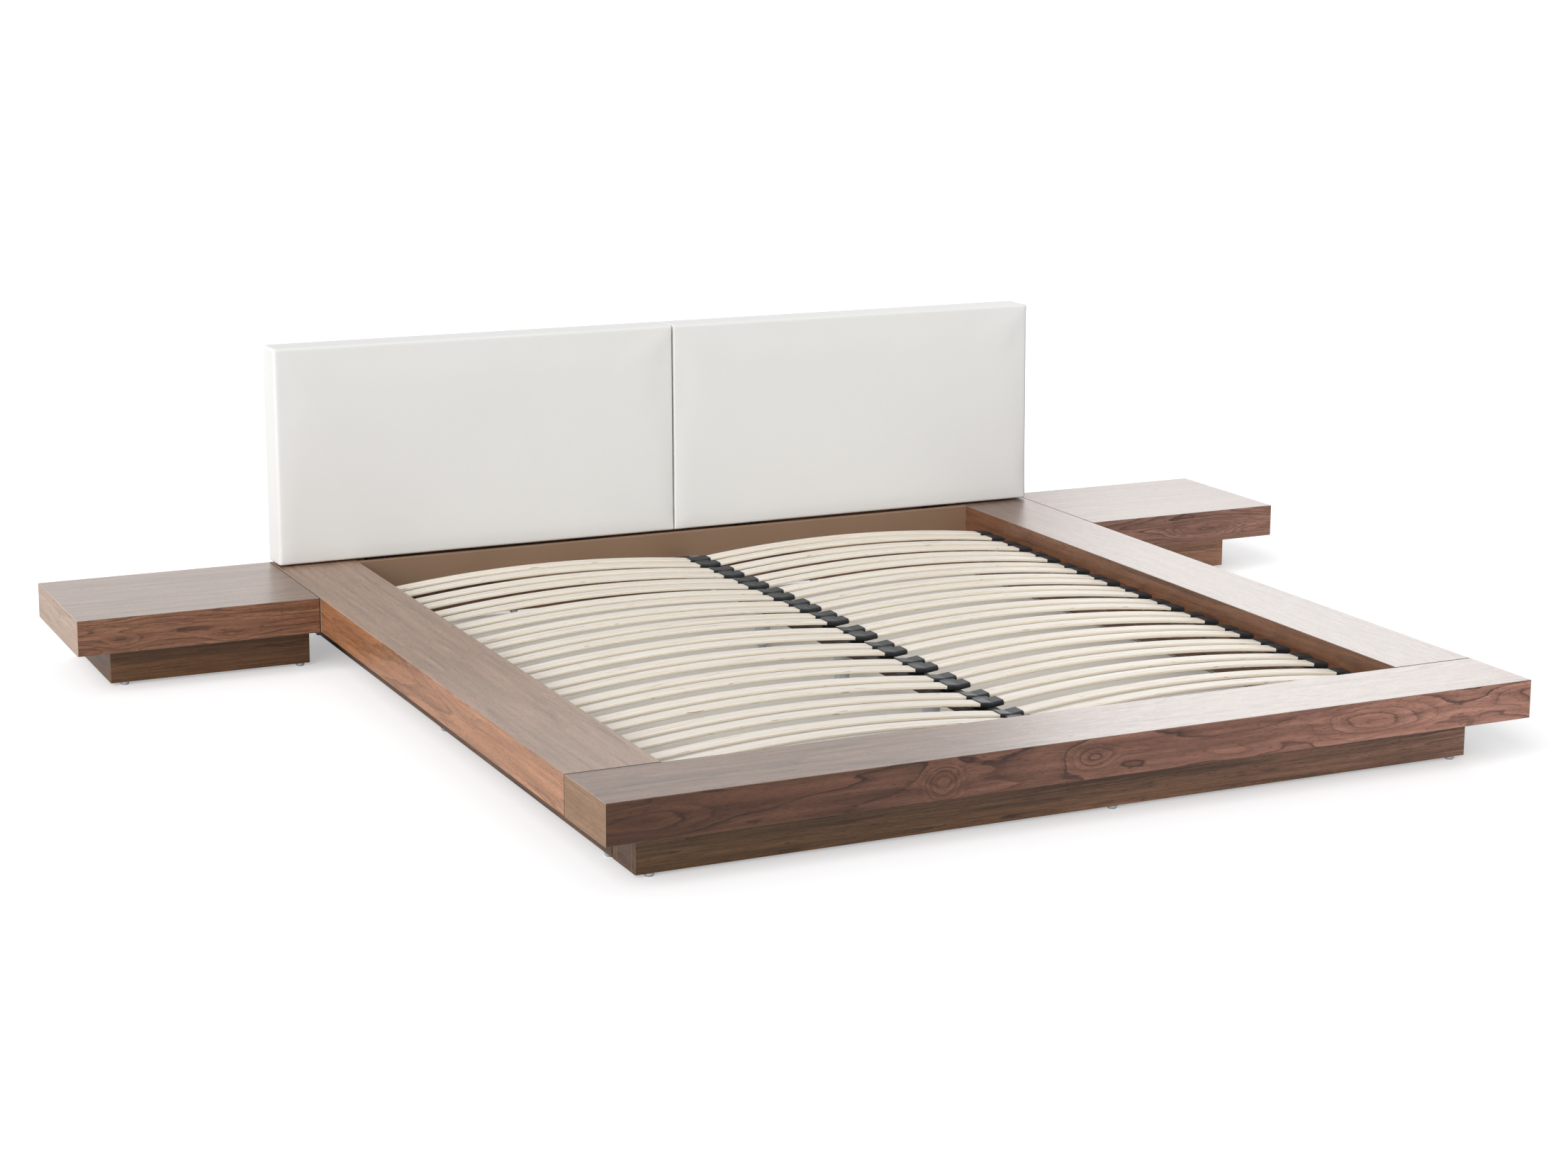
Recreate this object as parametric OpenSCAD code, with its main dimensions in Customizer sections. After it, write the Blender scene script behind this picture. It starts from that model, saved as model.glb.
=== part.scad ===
// Low platform bed with a wide walnut border, sprung slats in twin holders,
// an upholstered two-part headboard and two attached bedside shelves.
// Millimetres. X runs across the bed, Y towards the headboard, Z up.
// The origin is on the floor under the middle of the bed's footprint.

/* [Mattress bay] */
// Width of the mattress that the bay takes
mattress_w = 1800; // [1400:10:2000]
// Length of the mattress that the bay takes
mattress_l = 2000; // [1900:10:2100]
// Play between the mattress and the bay, on each side
mattress_play = 10; // [5:1:20]

/* [Rails] */
// Width of each side rail
side_rail_w = 210; // [180:1:260]
// Depth of the foot rail, front to back
foot_rail_w = 215; // [180:1:260]
// Height of all rails
rail_h = 88; // [80:1:120]
// Thickness of the top panel of a rail
rail_top_t = 18; // [12:1:22]
// Thickness of the side walls of a rail
rail_wall_t = 18; // [15:1:22]
// Thickness of the bottom panel of a rail
rail_bottom_t = 14; // [13:1:18]
// Rounding of the long edges of the rails and shelves
arris_r = 1.5; // [0.5:0.5:4]
// Thickness of the veneer glued over the end of a rail or shelf
end_veneer_t = 1; // [0.5:0.5:3]
// Length of the wooden block glued into the end of a rail or shelf
end_block_l = 40; // [30:1:60]
// Depth of the open box between the bay and the head end
head_box_d = 100; // [95:1:115]
// Thickness of the painted head panel and of the rear panel
head_panel_t = 20; // [15:1:24]

/* [Plinth] */
// Height of the plinth boards
plinth_h = 100; // [80:1:180]
// Thickness of the plinth boards
plinth_t = 20; // [16:1:25]
// Distance from the foot rail's front face back to the plinth
plinth_front_setback = 96; // [60:1:120]
// Distance from a side rail's outer face in to the plinth
plinth_side_setback = 102; // [95:1:120]
// Distance from the head end of the rails forward to the plinth
plinth_head_setback = 20; // [10:1:60]
// Open joint between the front plinth box and the side plinth boards
plinth_joint = 7; // [2:0.5:12]
// Distance from the foot rail's rear edge forward to the front plinth box
plinth_back_setback = 1; // [0:0.5:5]
// Distance from the bay's side out to the inner board of a side plinth
plinth_inner_setback = 4; // [0:0.5:10]

/* [Glides] */
// Diameter of a nail-on glide
glide_d = 22; // [18:1:28]
// Height of a nail-on glide
glide_h = 8; // [5:0.5:12]
// Diameter of the nail of a glide
glide_nail_d = 2.5; // [2:0.1:3]
// Length of the nail of a glide
glide_nail_l = 16; // [10:1:25]
// Distance of the front glides from the ends of the plinth
glide_inset = 33; // [20:1:60]
// Place of the middle front glide, to the right of the centre line
glide_offset = 90; // [0:5:200]
// Distance of a shelf's inner glides from the end of its plinth
shelf_glide_in = 23; // [20:1:60]
// Distance of a shelf's outer glides from the end of its plinth
shelf_glide_out = 36; // [20:1:60]

/* [Slats] */
// Number of rows, each with two slats on the left and two on the right
rows = 12; // [10:1:12]
// Width of a slat
slat_w = 38; // [34:1:45]
// Thickness of a slat
slat_t = 8; // [7:0.5:9]
// Rise of the arched slat over its own length
slat_rise = 29; // [20:1:30]
// Rounding of the long edges of a slat
slat_edge_r = 2.5; // [0.5:0.5:3]
// Gap between the two slats of a row
slat_gap = 27; // [24:1:30]
// Distance from the crown of a level slat up to the top of the rails
slat_sink = 23; // [19:1:25]
// Distance from the foot rail to the first slat
foot_margin = 104; // [80:1:130]
// Distance from the last slat to the head panel
head_margin = 121; // [80:1:130]

/* [Slat holders] */
// Wall of a holder pocket
pocket_t = 2.2; // [2:0.1:2.6]
// Play between a slat and its pocket, on each side
pocket_play = 0.3; // [0.2:0.05:0.5]
// Rounding of the outside of a pocket
pocket_r = 5; // [3:0.5:6]
// Reach of the centre holder over the slats, from the centre line
centre_reach = 29; // [26:1:36]
// Reach of the side holder, from the rail
side_reach = 40; // [34:1:44]
// Thickness of the web between the left and right slats
centre_web_t = 5; // [4:0.5:8]
// Play at the end of a slat in its pocket
slat_end_play = 0.5; // [0.3:0.1:1]
// Gap between a side holder and the rail
holder_gap = 1.5; // [1:0.1:3]
// Rise of the middle row's centre holder above its side holders
centre_lift = 21; // [0:1:24]
// Fall of that rise from one row to the next, towards both ends of the bay
lift_step = 3; // [0:0.5:3.5]
// Depth of the bridge between the pockets, below their tops
bridge_drop = 2; // [1:0.5:3]
// Thickness of the bridge between the pockets
bridge_t = 3; // [2:0.5:4]
// Length of the barrel of the centre holder
centre_barrel_l = 34; // [30:1:44]
// Length of the barrel of a side holder
side_barrel_l = 24; // [20:1:26]
// Diameter of the barrel that a holder rocks on
barrel_d = 7; // [6:0.1:7.2]
// Running clearance around the barrel
barrel_play = 0.05; // [0.02:0.01:0.1]
// Gap between the barrel and the beam or ledger
barrel_lift = 1; // [0.8:0.1:1.4]
// Diameter of the neck under the barrel
neck_d = 4; // [3:0.1:4.4]
// Diameter of the peg pressed into the beam or ledger
peg_d = 7.8; // [6:0.1:9]
// Depth of the peg in the beam or ledger
peg_depth = 13; // [8:0.5:14]

/* [Centre beam and ledgers] */
// Height of the centre beam and of the side ledgers
beam_h = 20; // [19:0.5:22]
// Width of the centre beam
beam_w = 70; // [60:1:90]
// Width of each side ledger
ledger_w = 40; // [34:1:50]
// Distance from the bay's corner to the end of a ledger
ledger_setback = 70; // [20:1:90]
// Thickness of the steel of the brackets and plates
steel_t = 3; // [2:0.5:4]
// Length of the pocket of a beam bracket
bracket_l = 40; // [25:1:60]
// Width of the screw tab on each side of a beam bracket
bracket_tab = 26; // [22:1:40]
// Distance between the middle legs, counted in rows of slats
leg_step = 3; // [2:1:4]
// Diameter of the top flange of a middle leg
leg_flange_d = 60; // [50:1:70]
// Diameter of a middle leg under its flange
leg_top_d = 46; // [40:1:50]
// Diameter of a middle leg at its foot
leg_foot_d = 34; // [28:1:40]

/* [Headboard] */
// Height of the headboard above its own lower edge
headboard_h = 573; // [400:1:800]
// Thickness of the headboard
headboard_t = 102; // [98:1:120]
// Angle at which the headboard leans back
headboard_lean = 1.1; // [0.5:0.1:1.5]
// Distance from the bay back to the face of the headboard
headboard_setback = 16; // [5:1:18]
// Gap between the headboard and the top of the rails
headboard_gap = 3; // [2:0.5:6]
// Half of the gap at the seam between the two headboard halves
seam_play = 0.6; // [0.3:0.1:2]
// Rounding of the edges of the upholstery
pad_edge_r = 9; // [6:0.5:14]
// Crown of the padded front
pad_crown = 4; // [2:0.5:8]
// Pull of the cover along the sides of a half
pad_draw = 0.8; // [0:0.1:1.5]
// Thickness of foam and cover in front of the timber frame
foam_front_t = 30; // [24:1:32]
// Thickness of foam and cover around the timber frame
foam_side_t = 20; // [14:1:30]
// Width of the battens of the timber frame
batten_w = 60; // [45:1:80]
// Thickness of the fibreboard back panel
back_panel_t = 4; // [3:0.5:6]
// Width of a headboard post
post_w = 60; // [45:1:80]
// Thickness of a headboard post
post_t = 27; // [20:1:27]
// Reach of a post up into the headboard
post_reach = 380; // [250:10:390]
// Distance of the inner posts from the seam
post_inset = 240; // [150:10:320]
// Gap between an outer post and the cleat in the head box
post_gap = 10; // [5:1:40]

/* [Bedside shelves] */
// Width of a bedside shelf
shelf_w = 605; // [400:5:700]
// Depth of a bedside shelf
shelf_d = 453; // [350:1:500]
// Distance from a shelf's front and outer edge in to its plinth
shelf_plinth_setback = 98; // [60:1:120]
// Gap between a shelf's plinth and the bed's side rail line
shelf_plinth_gap = 3.5; // [2:0.5:10]

/* [Fasteners] */
// Diameter of the wooden dowels
dowel_d = 8; // [6:1:8]
// Length of the wooden dowels
dowel_l = 30; // [26:1:32]
// Diameter of the wood screws
screw_d = 4.5; // [3.5:0.5:5]
// Diameter of the machine bolts
bolt_d = 8; // [6:1:8]
// Clearance around dowels, screws, bolts, nails and pegs in their holes
hole_play = 0.1; // [0.05:0.05:0.2]
// Play of a glued block or a seated frame
seat_play = 0.25; // [0.1:0.05:0.5]
// Thickness of the cleats that join the head box to the side rails
cleat_t = 30; // [20:1:40]

/* [Hidden] */
eps = 0.01;
slat_fn = 900;

bay_w = mattress_w + 2 * mattress_play;
bay_l = mattress_l + 2 * mattress_play;
half_bay = bay_w / 2;
half_bed = half_bay + side_rail_w;
half_all = half_bed + shelf_w;
bay_foot = foot_rail_w;
bay_head = bay_foot + bay_l;
bed_head = bay_head + head_box_d;
headboard_y = bay_head + headboard_setback;
overall_l = headboard_y + headboard_t * cos(headboard_lean) + headboard_h * sin(headboard_lean);

rail_bottom = glide_h + plinth_h;
rail_top = rail_bottom + rail_h;
rail_hollow_h = rail_h - rail_top_t - rail_bottom_t;
rail_hollow_mid = rail_bottom + rail_bottom_t + rail_hollow_h / 2;
headboard_z = rail_top + headboard_gap;

// Slat rows: one centre holder and two side holders each, rocking on barrels
row_w = 2 * slat_w + slat_gap;
row_pitch = (bay_l - foot_margin - head_margin - row_w) / (rows - 1);
slat_centre = (slat_w + slat_gap) / 2;
beam_top = rail_bottom + beam_h;
pivot_z = beam_top + barrel_lift + barrel_d / 2;
side_holder_end = half_bay - holder_gap;
side_holder_mid = half_bay - side_reach / 2;
slat_x0 = centre_web_t / 2 + slat_end_play;
slat_x1 = side_holder_end - pocket_t - slat_end_play;
slat_l = slat_x1 - slat_x0;
slat_mid = (slat_x0 + slat_x1) / 2;
slat_r = (pow(slat_l / 2, 2) + pow(slat_rise, 2)) / (2 * slat_rise);
slat_crown_z = rail_top - slat_sink;
slat_end_z = slat_crown_z - slat_rise;
slat_axis_z = slat_crown_z - slat_r;
function row_y(i) = bay_foot + foot_margin + row_w / 2 + i * row_pitch;
function slat_angle(x) = asin((x - slat_mid) / slat_r);

// Rise of a row's centre holder, highest in the middle of the bay, and the tilt that it gives the slats
function row_lift(i) = max(0, centre_lift - lift_step * abs(i - rows / 2));
function slat_tilt(i) = asin(row_lift(i) / slat_l);

// Plinth lines
plinth_x = half_bed - plinth_side_setback;
plinth_y = plinth_front_setback;
plinth_head = bed_head - plinth_head_setback;
front_plinth_back = bay_foot - plinth_back_setback;
side_plinth_y = front_plinth_back + plinth_joint;
inner_plinth_x = half_bay + plinth_inner_setback;

// Shelf lines, for the right shelf
shelf_y = bed_head - shelf_d;
shelf_plinth_x0 = half_bed + shelf_plinth_gap;
shelf_plinth_x1 = half_all - shelf_plinth_setback;
shelf_plinth_y0 = shelf_y + shelf_plinth_setback;

// Places of the middle legs, and of the ledger screws midway between two rows
leg_ys = [for (k = [-1:1]) row_y((rows - 1) / 2 + k * leg_step)];
ledger_screw_ys = [for (k = [0:4]) row_y(round(k * (rows - 2) / 4) + 0.5)];

// Colours, one per material
walnut = "#6f4a35";
walnut_dark = "#573829";
taupe = "#7a6450";
birch = "#e6d9bf";
pine = "#d8b98a";
stained = "#2b1c17";
black_plastic = "#1c1e1f";
grey_plastic = "#a9adb5";
steel = "#8b8f94";
cover_white = "#dfdedb";
fibreboard = "#3a342f";

// Every piece is drawn with the foot rail's front face at Y = 0, then centred
module centred() {
    translate([0, -overall_l / 2, 0]) children();
}

// Both sides of the bed, mirrored over the centre line
module both_sides() {
    children();
    mirror([1, 0, 0]) children();
}

// Rounded rectangle from its lower left corner
module round_rect(w, h, r) {
    translate([r, 0]) square([w - 2 * r, h]);
    translate([0, r]) square([w, h - 2 * r]);
    for (x = [r, w - r], y = [r, h - r]) translate([x, y]) circle(r = r, $fn = 24);
}

// Section of a hollow rail or shelf: four glued panels with rounded long edges
module box_section(w) {
    difference() {
        round_rect(w, rail_h, arris_r);
        translate([rail_wall_t, rail_bottom_t]) square([w - 2 * rail_wall_t, rail_hollow_h]);
    }
}

// Extrude a section (across, up) along X or along Y
module along_x(x0, x1) {
    translate([x0, 0, 0]) rotate([90, 0, 90]) linear_extrude(x1 - x0) children();
}
module along_y(y0, y1) {
    translate([0, y1, 0]) rotate([90, 0, 0]) linear_extrude(y1 - y0) children();
}

// Block in the end of a hollow section, with its end at the origin and the beam towards +Z;
// the veneer lies over the end
module end_block(w, veneered) {
    translate([rail_wall_t + seat_play, rail_bottom_t + seat_play, veneered ? -eps : 0])
        cube([w - 2 * rail_wall_t - 2 * seat_play, rail_hollow_h - 2 * seat_play, end_block_l]);
    if (veneered)
        translate([0, 0, -end_veneer_t]) linear_extrude(end_veneer_t) round_rect(w, rail_h, arris_r);
}

// A round hole or pin along one axis, centred on its length
module rod_x(d, l) { rotate([0, 90, 0]) cylinder(d = d, h = l, center = true); }
module rod_y(d, l) { rotate([90, 0, 0]) cylinder(d = d, h = l, center = true); }
module rod_z(d, l) { cylinder(d = d, h = l, center = true); }

// Evenly spread places between two ends
function spread(a, b, n) = [for (i = [0:n - 1]) a + (b - a) * i / (n - 1)];

// Vertical dowels between the plinth boards and the rails or shelves: [x, y]
dowel_margin = 80;
dowel_skin = 1;
dowel_up = rail_bottom_t - dowel_skin;
plinth_dowel_x = spread(-plinth_x + dowel_margin, plinth_x - dowel_margin, 4);
side_dowel_y = spread(side_plinth_y + dowel_margin, plinth_head - dowel_margin, 4);
shelf_dowel_x = spread(shelf_plinth_x0 + dowel_margin, shelf_plinth_x1 - dowel_margin, 2);
plinth_dowels = concat(
    [for (x = plinth_dowel_x) [x, plinth_y + plinth_t / 2]],
    [for (s = [-1, 1], y = side_dowel_y) [s * (plinth_x - plinth_t / 2), y]],
    [for (s = [-1, 1], x = shelf_dowel_x) [s * x, shelf_plinth_y0 + plinth_t / 2]],
    [for (s = [-1, 1], x = shelf_dowel_x) [s * x, plinth_head - plinth_t / 2]]
);

module plinth_dowel_places() {
    for (p = plinth_dowels) translate([p[0], p[1], rail_bottom + dowel_up - dowel_l / 2]) children();
}

// Dowels between the foot rail and the side rails
rail_dowel_spread = 90;
rail_dowel_in = rail_wall_t - 3;

module rail_dowel_places() {
    for (s = [-1, 1], d = [-1, 1])
        translate([s * (half_bay + side_rail_w / 2) + d * rail_dowel_spread / 2,
                   bay_foot - rail_dowel_in + dowel_l / 2, rail_hollow_mid]) children();
}

// Dowels between the cleats of the head box and the side rails
cleat_l = head_box_d - 2 * head_panel_t - 2 * seat_play;

module cleat_dowel_places() {
    for (t = [0.25, 0.75])
        translate([half_bay, bay_head + head_panel_t + seat_play + t * cleat_l, rail_bottom + rail_h / 2])
            children();
}

// Each hole is a little wider and longer than its dowel
dowel_hole_d = dowel_d + 2 * hole_play;
dowel_hole_l = dowel_l + 1;
bolt_hole_d = bolt_d + 2 * hole_play;

module dowel_holes() {
    plinth_dowel_places() rod_z(dowel_hole_d, dowel_hole_l);
    rail_dowel_places() rod_y(dowel_hole_d, dowel_hole_l);
    both_sides() cleat_dowel_places() rod_x(dowel_hole_d, dowel_hole_l);
}

// Countersunk wood screw with its head's face at the origin, pointing down
screw_head_d = 2 * screw_d;
screw_head_h = screw_d / 2;
screw_tip_d = 0.6;

module screw(l) {
    translate([0, 0, -screw_head_h]) cylinder(d1 = screw_d, d2 = screw_head_d, h = screw_head_h);
    translate([0, 0, screw_d - l]) cylinder(d = screw_d, h = l - screw_d - screw_head_h + eps);
    translate([0, 0, -l]) cylinder(d1 = screw_tip_d, d2 = screw_d, h = screw_d + eps);
}

// Hole for a screw, a little larger than the screw all round
module screw_hole(l) {
    hole_d = screw_d + 2 * hole_play;
    head_hole_d = screw_head_d + 2 * hole_play;
    translate([0, 0, -screw_head_h - hole_play])
        cylinder(d1 = hole_d, d2 = head_hole_d, h = screw_head_h + hole_play + eps);
    translate([0, 0, -l - 1]) cylinder(d = hole_d, h = l);
}

// Corner plates under the joint between foot rail and side rail
plate_w = 62;
plate_l = 170;
plate_corner_r = 6;
plate_x = (half_bed + plinth_x) / 2;
plate_screw_l = 12;
plate_screw_dy = [20, 45, 70];

module plate_screw_places() {
    for (s = [-1, 1], t = [-1, 1], d = plate_screw_dy)
        translate([s * plate_x, bay_foot + t * d, rail_bottom - steel_t]) rotate([180, 0, 0]) children();
}

// Screws through the ledgers into the inner walls of the side rails
ledger_screw_l = ledger_w + 13;

module ledger_screw_places() {
    for (s = [-1, 1], y = ledger_screw_ys)
        translate([s * (half_bay - ledger_w), y, rail_bottom + beam_h / 2])
            rotate([0, -s * 90, 0]) children();
}

// Screws of the beam brackets, into the foot rail and into the head panel
bracket_screw_l = 14;
bracket_screw_x = beam_w / 2 + seat_play + steel_t + bracket_tab / 2;

module bracket_screw_places() {
    for (s = [-1, 1]) translate([s * bracket_screw_x, 0, rail_bottom + beam_h / 2]) {
        translate([0, bay_foot + steel_t, 0]) rotate([-90, 0, 0]) children();
        translate([0, bay_head - steel_t, 0]) rotate([90, 0, 0]) children();
    }
}

// Headboard posts: upright against the rear panel in the head box, leaning inside the headboard
post_y1 = (head_box_d - head_panel_t - headboard_setback) / cos(headboard_lean);
post_y0 = post_y1 - post_t;
post_xs = [post_inset, half_bay - seat_play - cleat_t - post_gap - post_w / 2];
post_lift = 6;
function leaned_point(y, z) = [
    headboard_y + y * cos(headboard_lean) + z * sin(headboard_lean),
    headboard_z - y * sin(headboard_lean) + z * cos(headboard_lean)
];
post_profile = [
    leaned_point(post_y0, post_reach),
    leaned_point(post_y0, 0),
    [leaned_point(post_y0, 0)[0], rail_bottom + post_lift],
    [leaned_point(post_y1, 0)[0], rail_bottom + post_lift],
    leaned_point(post_y1, 0),
    leaned_point(post_y1, post_reach)
];

// Bolts of the headboard: through the rear panel into the posts
bolt_head_d = bolt_d * 1.75;
bolt_head_h = bolt_d * 0.5;
washer_d = bolt_d * 2.5;
washer_t = 1.5;
bolt_bite = 0.8;
bolt_up = 20;
bolt_down = 26;
headboard_bolt_l = head_panel_t + bolt_bite * post_t;
headboard_bolt_zs = [rail_bottom + bolt_up, rail_top - bolt_down];

module headboard_bolt_places() {
    for (s = [-1, 1], x = post_xs, z = headboard_bolt_zs) translate([s * x, bed_head, z]) children();
}

// Bolts of the shelves: from inside the shelf into the side rail
shelf_bolt_inset = 110;
shelf_bolt_l = end_block_l + end_veneer_t + rail_wall_t - 2;

module shelf_bolt_places() {
    for (y = [shelf_y + shelf_bolt_inset, bed_head - shelf_bolt_inset])
        translate([half_bed + end_veneer_t + end_block_l, y, rail_hollow_mid]) children();
}

module headboard_bolt_holes() { headboard_bolt_places() rod_y(bolt_hole_d, 2 * headboard_bolt_l + 2); }
module shelf_bolt_holes() { both_sides() shelf_bolt_places() rod_x(bolt_hole_d, 2 * shelf_bolt_l + 2); }

// Button-head bolt with its washer: the head's seat at the origin, the shank towards -Z
module bolt(l) {
    cylinder(d = washer_d, h = washer_t);
    translate([0, 0, washer_t]) difference() {
        cylinder(d1 = bolt_head_d, d2 = bolt_head_d * 0.75, h = bolt_head_h);
        translate([0, 0, bolt_head_h * 0.4]) cylinder(d = bolt_d * 0.6, h = bolt_head_h, $fn = 6);
    }
    translate([0, 0, -l]) cylinder(d = bolt_d, h = l + eps);
}

// Rails

module foot_rail() {
    color(walnut) centred() difference() {
        along_x(-half_bed + end_veneer_t, half_bed - end_veneer_t)
            translate([0, rail_bottom]) box_section(foot_rail_w);
        dowel_holes();
        plate_screw_places() screw_hole(plate_screw_l);
        bracket_screw_places() screw_hole(bracket_screw_l);
    }
}

// The right side rail; the left one is its mirror image
module side_rail() {
    difference() {
        along_y(bay_foot, bed_head - end_veneer_t)
            translate([half_bay, rail_bottom]) box_section(side_rail_w);
        dowel_holes();
        plate_screw_places() screw_hole(plate_screw_l);
        ledger_screw_places() screw_hole(ledger_screw_l);
        shelf_bolt_holes();
    }
}

module right_side_rail() { color(walnut) centred() side_rail(); }
module left_side_rail() { color(walnut) centred() mirror([1, 0, 0]) side_rail(); }

// Blocks in the ends of the three rails; those at the visible ends carry a veneer
module rail_end_blocks() {
    color(walnut) centred() both_sides() {
        translate([half_bed - end_veneer_t, foot_rail_w, rail_bottom])
            rotate([0, 0, 180]) rotate([90, 0, 90]) end_block(foot_rail_w, true);
        translate([half_bay, bed_head - end_veneer_t, rail_bottom])
            rotate([90, 0, 0]) end_block(side_rail_w, true);
        difference() {
            translate([half_bed, bay_foot, rail_bottom])
                rotate([0, 0, 180]) rotate([90, 0, 0]) end_block(side_rail_w, false);
            dowel_holes();
        }
    }
}

// All dowels: foot rail to side rails, plinths to rails, cleats to rails
module dowels() {
    color(pine) centred() {
        plinth_dowel_places() rod_z(dowel_d, dowel_l);
        rail_dowel_places() rod_y(dowel_d, dowel_l);
        both_sides() cleat_dowel_places() rod_x(dowel_d, dowel_l);
    }
}

module corner_plates() {
    color(steel) centred() difference() {
        both_sides() translate([plate_x - plate_w / 2, bay_foot - plate_l / 2, rail_bottom - steel_t])
            linear_extrude(steel_t) round_rect(plate_w, plate_l, plate_corner_r);
        plate_screw_places() screw_hole(plate_screw_l);
    }
}

module wood_screws() {
    color(steel) centred() {
        plate_screw_places() screw(plate_screw_l);
        ledger_screw_places() screw(ledger_screw_l);
        bracket_screw_places() screw(bracket_screw_l);
    }
}

// Head box

module head_panel() {
    color(taupe) centred() difference() {
        along_x(-half_bay + seat_play, half_bay - seat_play)
            translate([bay_head, rail_bottom]) round_rect(head_panel_t, rail_h, arris_r);
        bracket_screw_places() screw_hole(bracket_screw_l);
    }
}

module rear_panel() {
    color(walnut_dark) centred() difference() {
        along_x(-half_bay + seat_play, half_bay - seat_play)
            translate([bed_head - head_panel_t, rail_bottom]) round_rect(head_panel_t, rail_h, arris_r);
        headboard_bolt_holes();
    }
}

// Cleats that join the head panel and the rear panel to the side rails
cleat_lift = 5;

module head_box_cleats() {
    color(pine) centred() both_sides() difference() {
        translate([half_bay - cleat_t - seat_play, bay_head + head_panel_t + seat_play,
                   rail_bottom + cleat_lift])
            cube([cleat_t, cleat_l, rail_h - 2 * cleat_lift]);
        dowel_holes();
    }
}

// Slat support

module side_ledgers() {
    color(walnut_dark) centred() difference() {
        both_sides() translate([half_bay - ledger_w, bay_foot + ledger_setback, rail_bottom])
            cube([ledger_w, bay_l - 2 * ledger_setback, beam_h]);
        ledger_screw_places() screw_hole(ledger_screw_l);
        row_places() row_pegs(hole_play);
    }
}

module centre_beam() {
    beam_end = steel_t + seat_play;
    beam_edge_r = 2;
    color(stained) centred() difference() {
        along_y(bay_foot + beam_end, bay_head - beam_end)
            translate([-beam_w / 2, rail_bottom]) round_rect(beam_w, beam_h, beam_edge_r);
        row_places() row_pegs(hole_play);
        for (y = leg_ys) translate([0, y, rail_bottom]) rod_z(bolt_hole_d, 2 * leg_stud_l + 1);
    }
}

// One bracket against the foot rail: a back plate with a screw tab on each side,
// and a pocket that the beam lies in
module beam_bracket() {
    in_w = beam_w + 2 * seat_play;
    out_w = in_w + 2 * steel_t;
    plate = out_w + 2 * bracket_tab;
    rim_h = beam_h * 0.8;
    translate([-plate / 2, 0, rail_bottom]) cube([plate, steel_t, beam_h]);
    along_y(0, bracket_l) translate([0, rail_bottom]) difference() {
        translate([-out_w / 2, -steel_t]) square([out_w, rim_h + steel_t]);
        translate([-in_w / 2, 0]) square([in_w, beam_h]);
    }
}

module beam_brackets() {
    color(steel) centred() difference() {
        union() {
            translate([0, bay_foot, 0]) beam_bracket();
            translate([0, bay_head, 0]) mirror([0, 1, 0]) beam_bracket();
        }
        bracket_screw_places() screw_hole(bracket_screw_l);
    }
}

// Turned plastic legs under the beam, each with a stud up into the beam
leg_stud_l = 5;
leg_flange_t = 5;
leg_cove = 6;
leg_edge = 2;

module beam_legs() {
    flange_z = plinth_h - leg_flange_t;
    profile = [
        [0, 0], [leg_foot_d / 2 - leg_edge, 0], [leg_foot_d / 2, leg_edge],
        [leg_top_d / 2, flange_z - leg_cove], [leg_flange_d / 2 - leg_edge, flange_z],
        [leg_flange_d / 2, flange_z + leg_edge], [leg_flange_d / 2, plinth_h],
        [bolt_d / 2, plinth_h], [bolt_d / 2, plinth_h + leg_stud_l], [0, plinth_h + leg_stud_l]
    ];
    color(black_plastic) centred() for (y = leg_ys) translate([0, y, glide_h]) difference() {
        rotate_extrude($fn = 60) polygon(profile);
        glide_nail_hole();
    }
}

// Fixed part of the holders: pegs in the beam and the ledgers, necks, and the barrels
// that the holders rock on
centre_neck_dx = 12;
side_neck_dx = 6;
peg_xs = concat(
    [-centre_neck_dx, centre_neck_dx],
    [for (s = [-1, 1], d = [-1, 1]) s * side_holder_mid + d * side_neck_dx]
);

module row_places() {
    for (i = [0:rows - 1]) translate([0, row_y(i), 0]) children();
}

module row_pegs(play) {
    for (x = peg_xs) translate([x, 0, beam_top - peg_depth - play])
        cylinder(d = peg_d + 2 * play, h = peg_depth + 2 * play);
}

module holder_pegs() {
    color(black_plastic) centred() row_places() {
        row_pegs(0);
        for (x = peg_xs) translate([x, 0, beam_top - eps]) cylinder(d = neck_d, h = pivot_z - beam_top);
        translate([0, 0, pivot_z]) rod_x(barrel_d, centre_barrel_l);
        for (s = [-1, 1]) translate([s * side_holder_mid, 0, pivot_z]) rod_x(barrel_d, side_barrel_l);
    }
}

// One sprung slat: its section turned about the axis of the arch
module slat() {
    a0 = slat_angle(slat_x0);
    a1 = slat_angle(slat_x1);
    translate([slat_mid, 0, slat_axis_z]) rotate([90, 0, 0]) rotate([0, 0, 90 - a1])
        rotate_extrude(angle = a1 - a0, $fn = slat_fn)
            translate([slat_r - slat_t, -slat_w / 2]) round_rect(slat_t, slat_w, slat_edge_r);
}

// Tilt a row's slats and pockets about the side ends of the slats
module tilted(i) {
    translate([slat_x1, 0, slat_end_z]) rotate([0, slat_tilt(i), 0]) translate([-slat_x1, 0, -slat_end_z])
        children();
}

// Four slats: two on the left and two on the right
module slats_row(i) {
    color(birch) centred() translate([0, row_y(i), 0]) both_sides()
        for (s = [-1, 1]) translate([0, s * slat_centre, 0]) tilted(i) slat();
}

// Bridge of a holder: a plate between the two pockets, on a spine that closes over the barrel
bridge_end = 2;
neck_play = 0.6;
barrel_end_play = 0.2;

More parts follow.
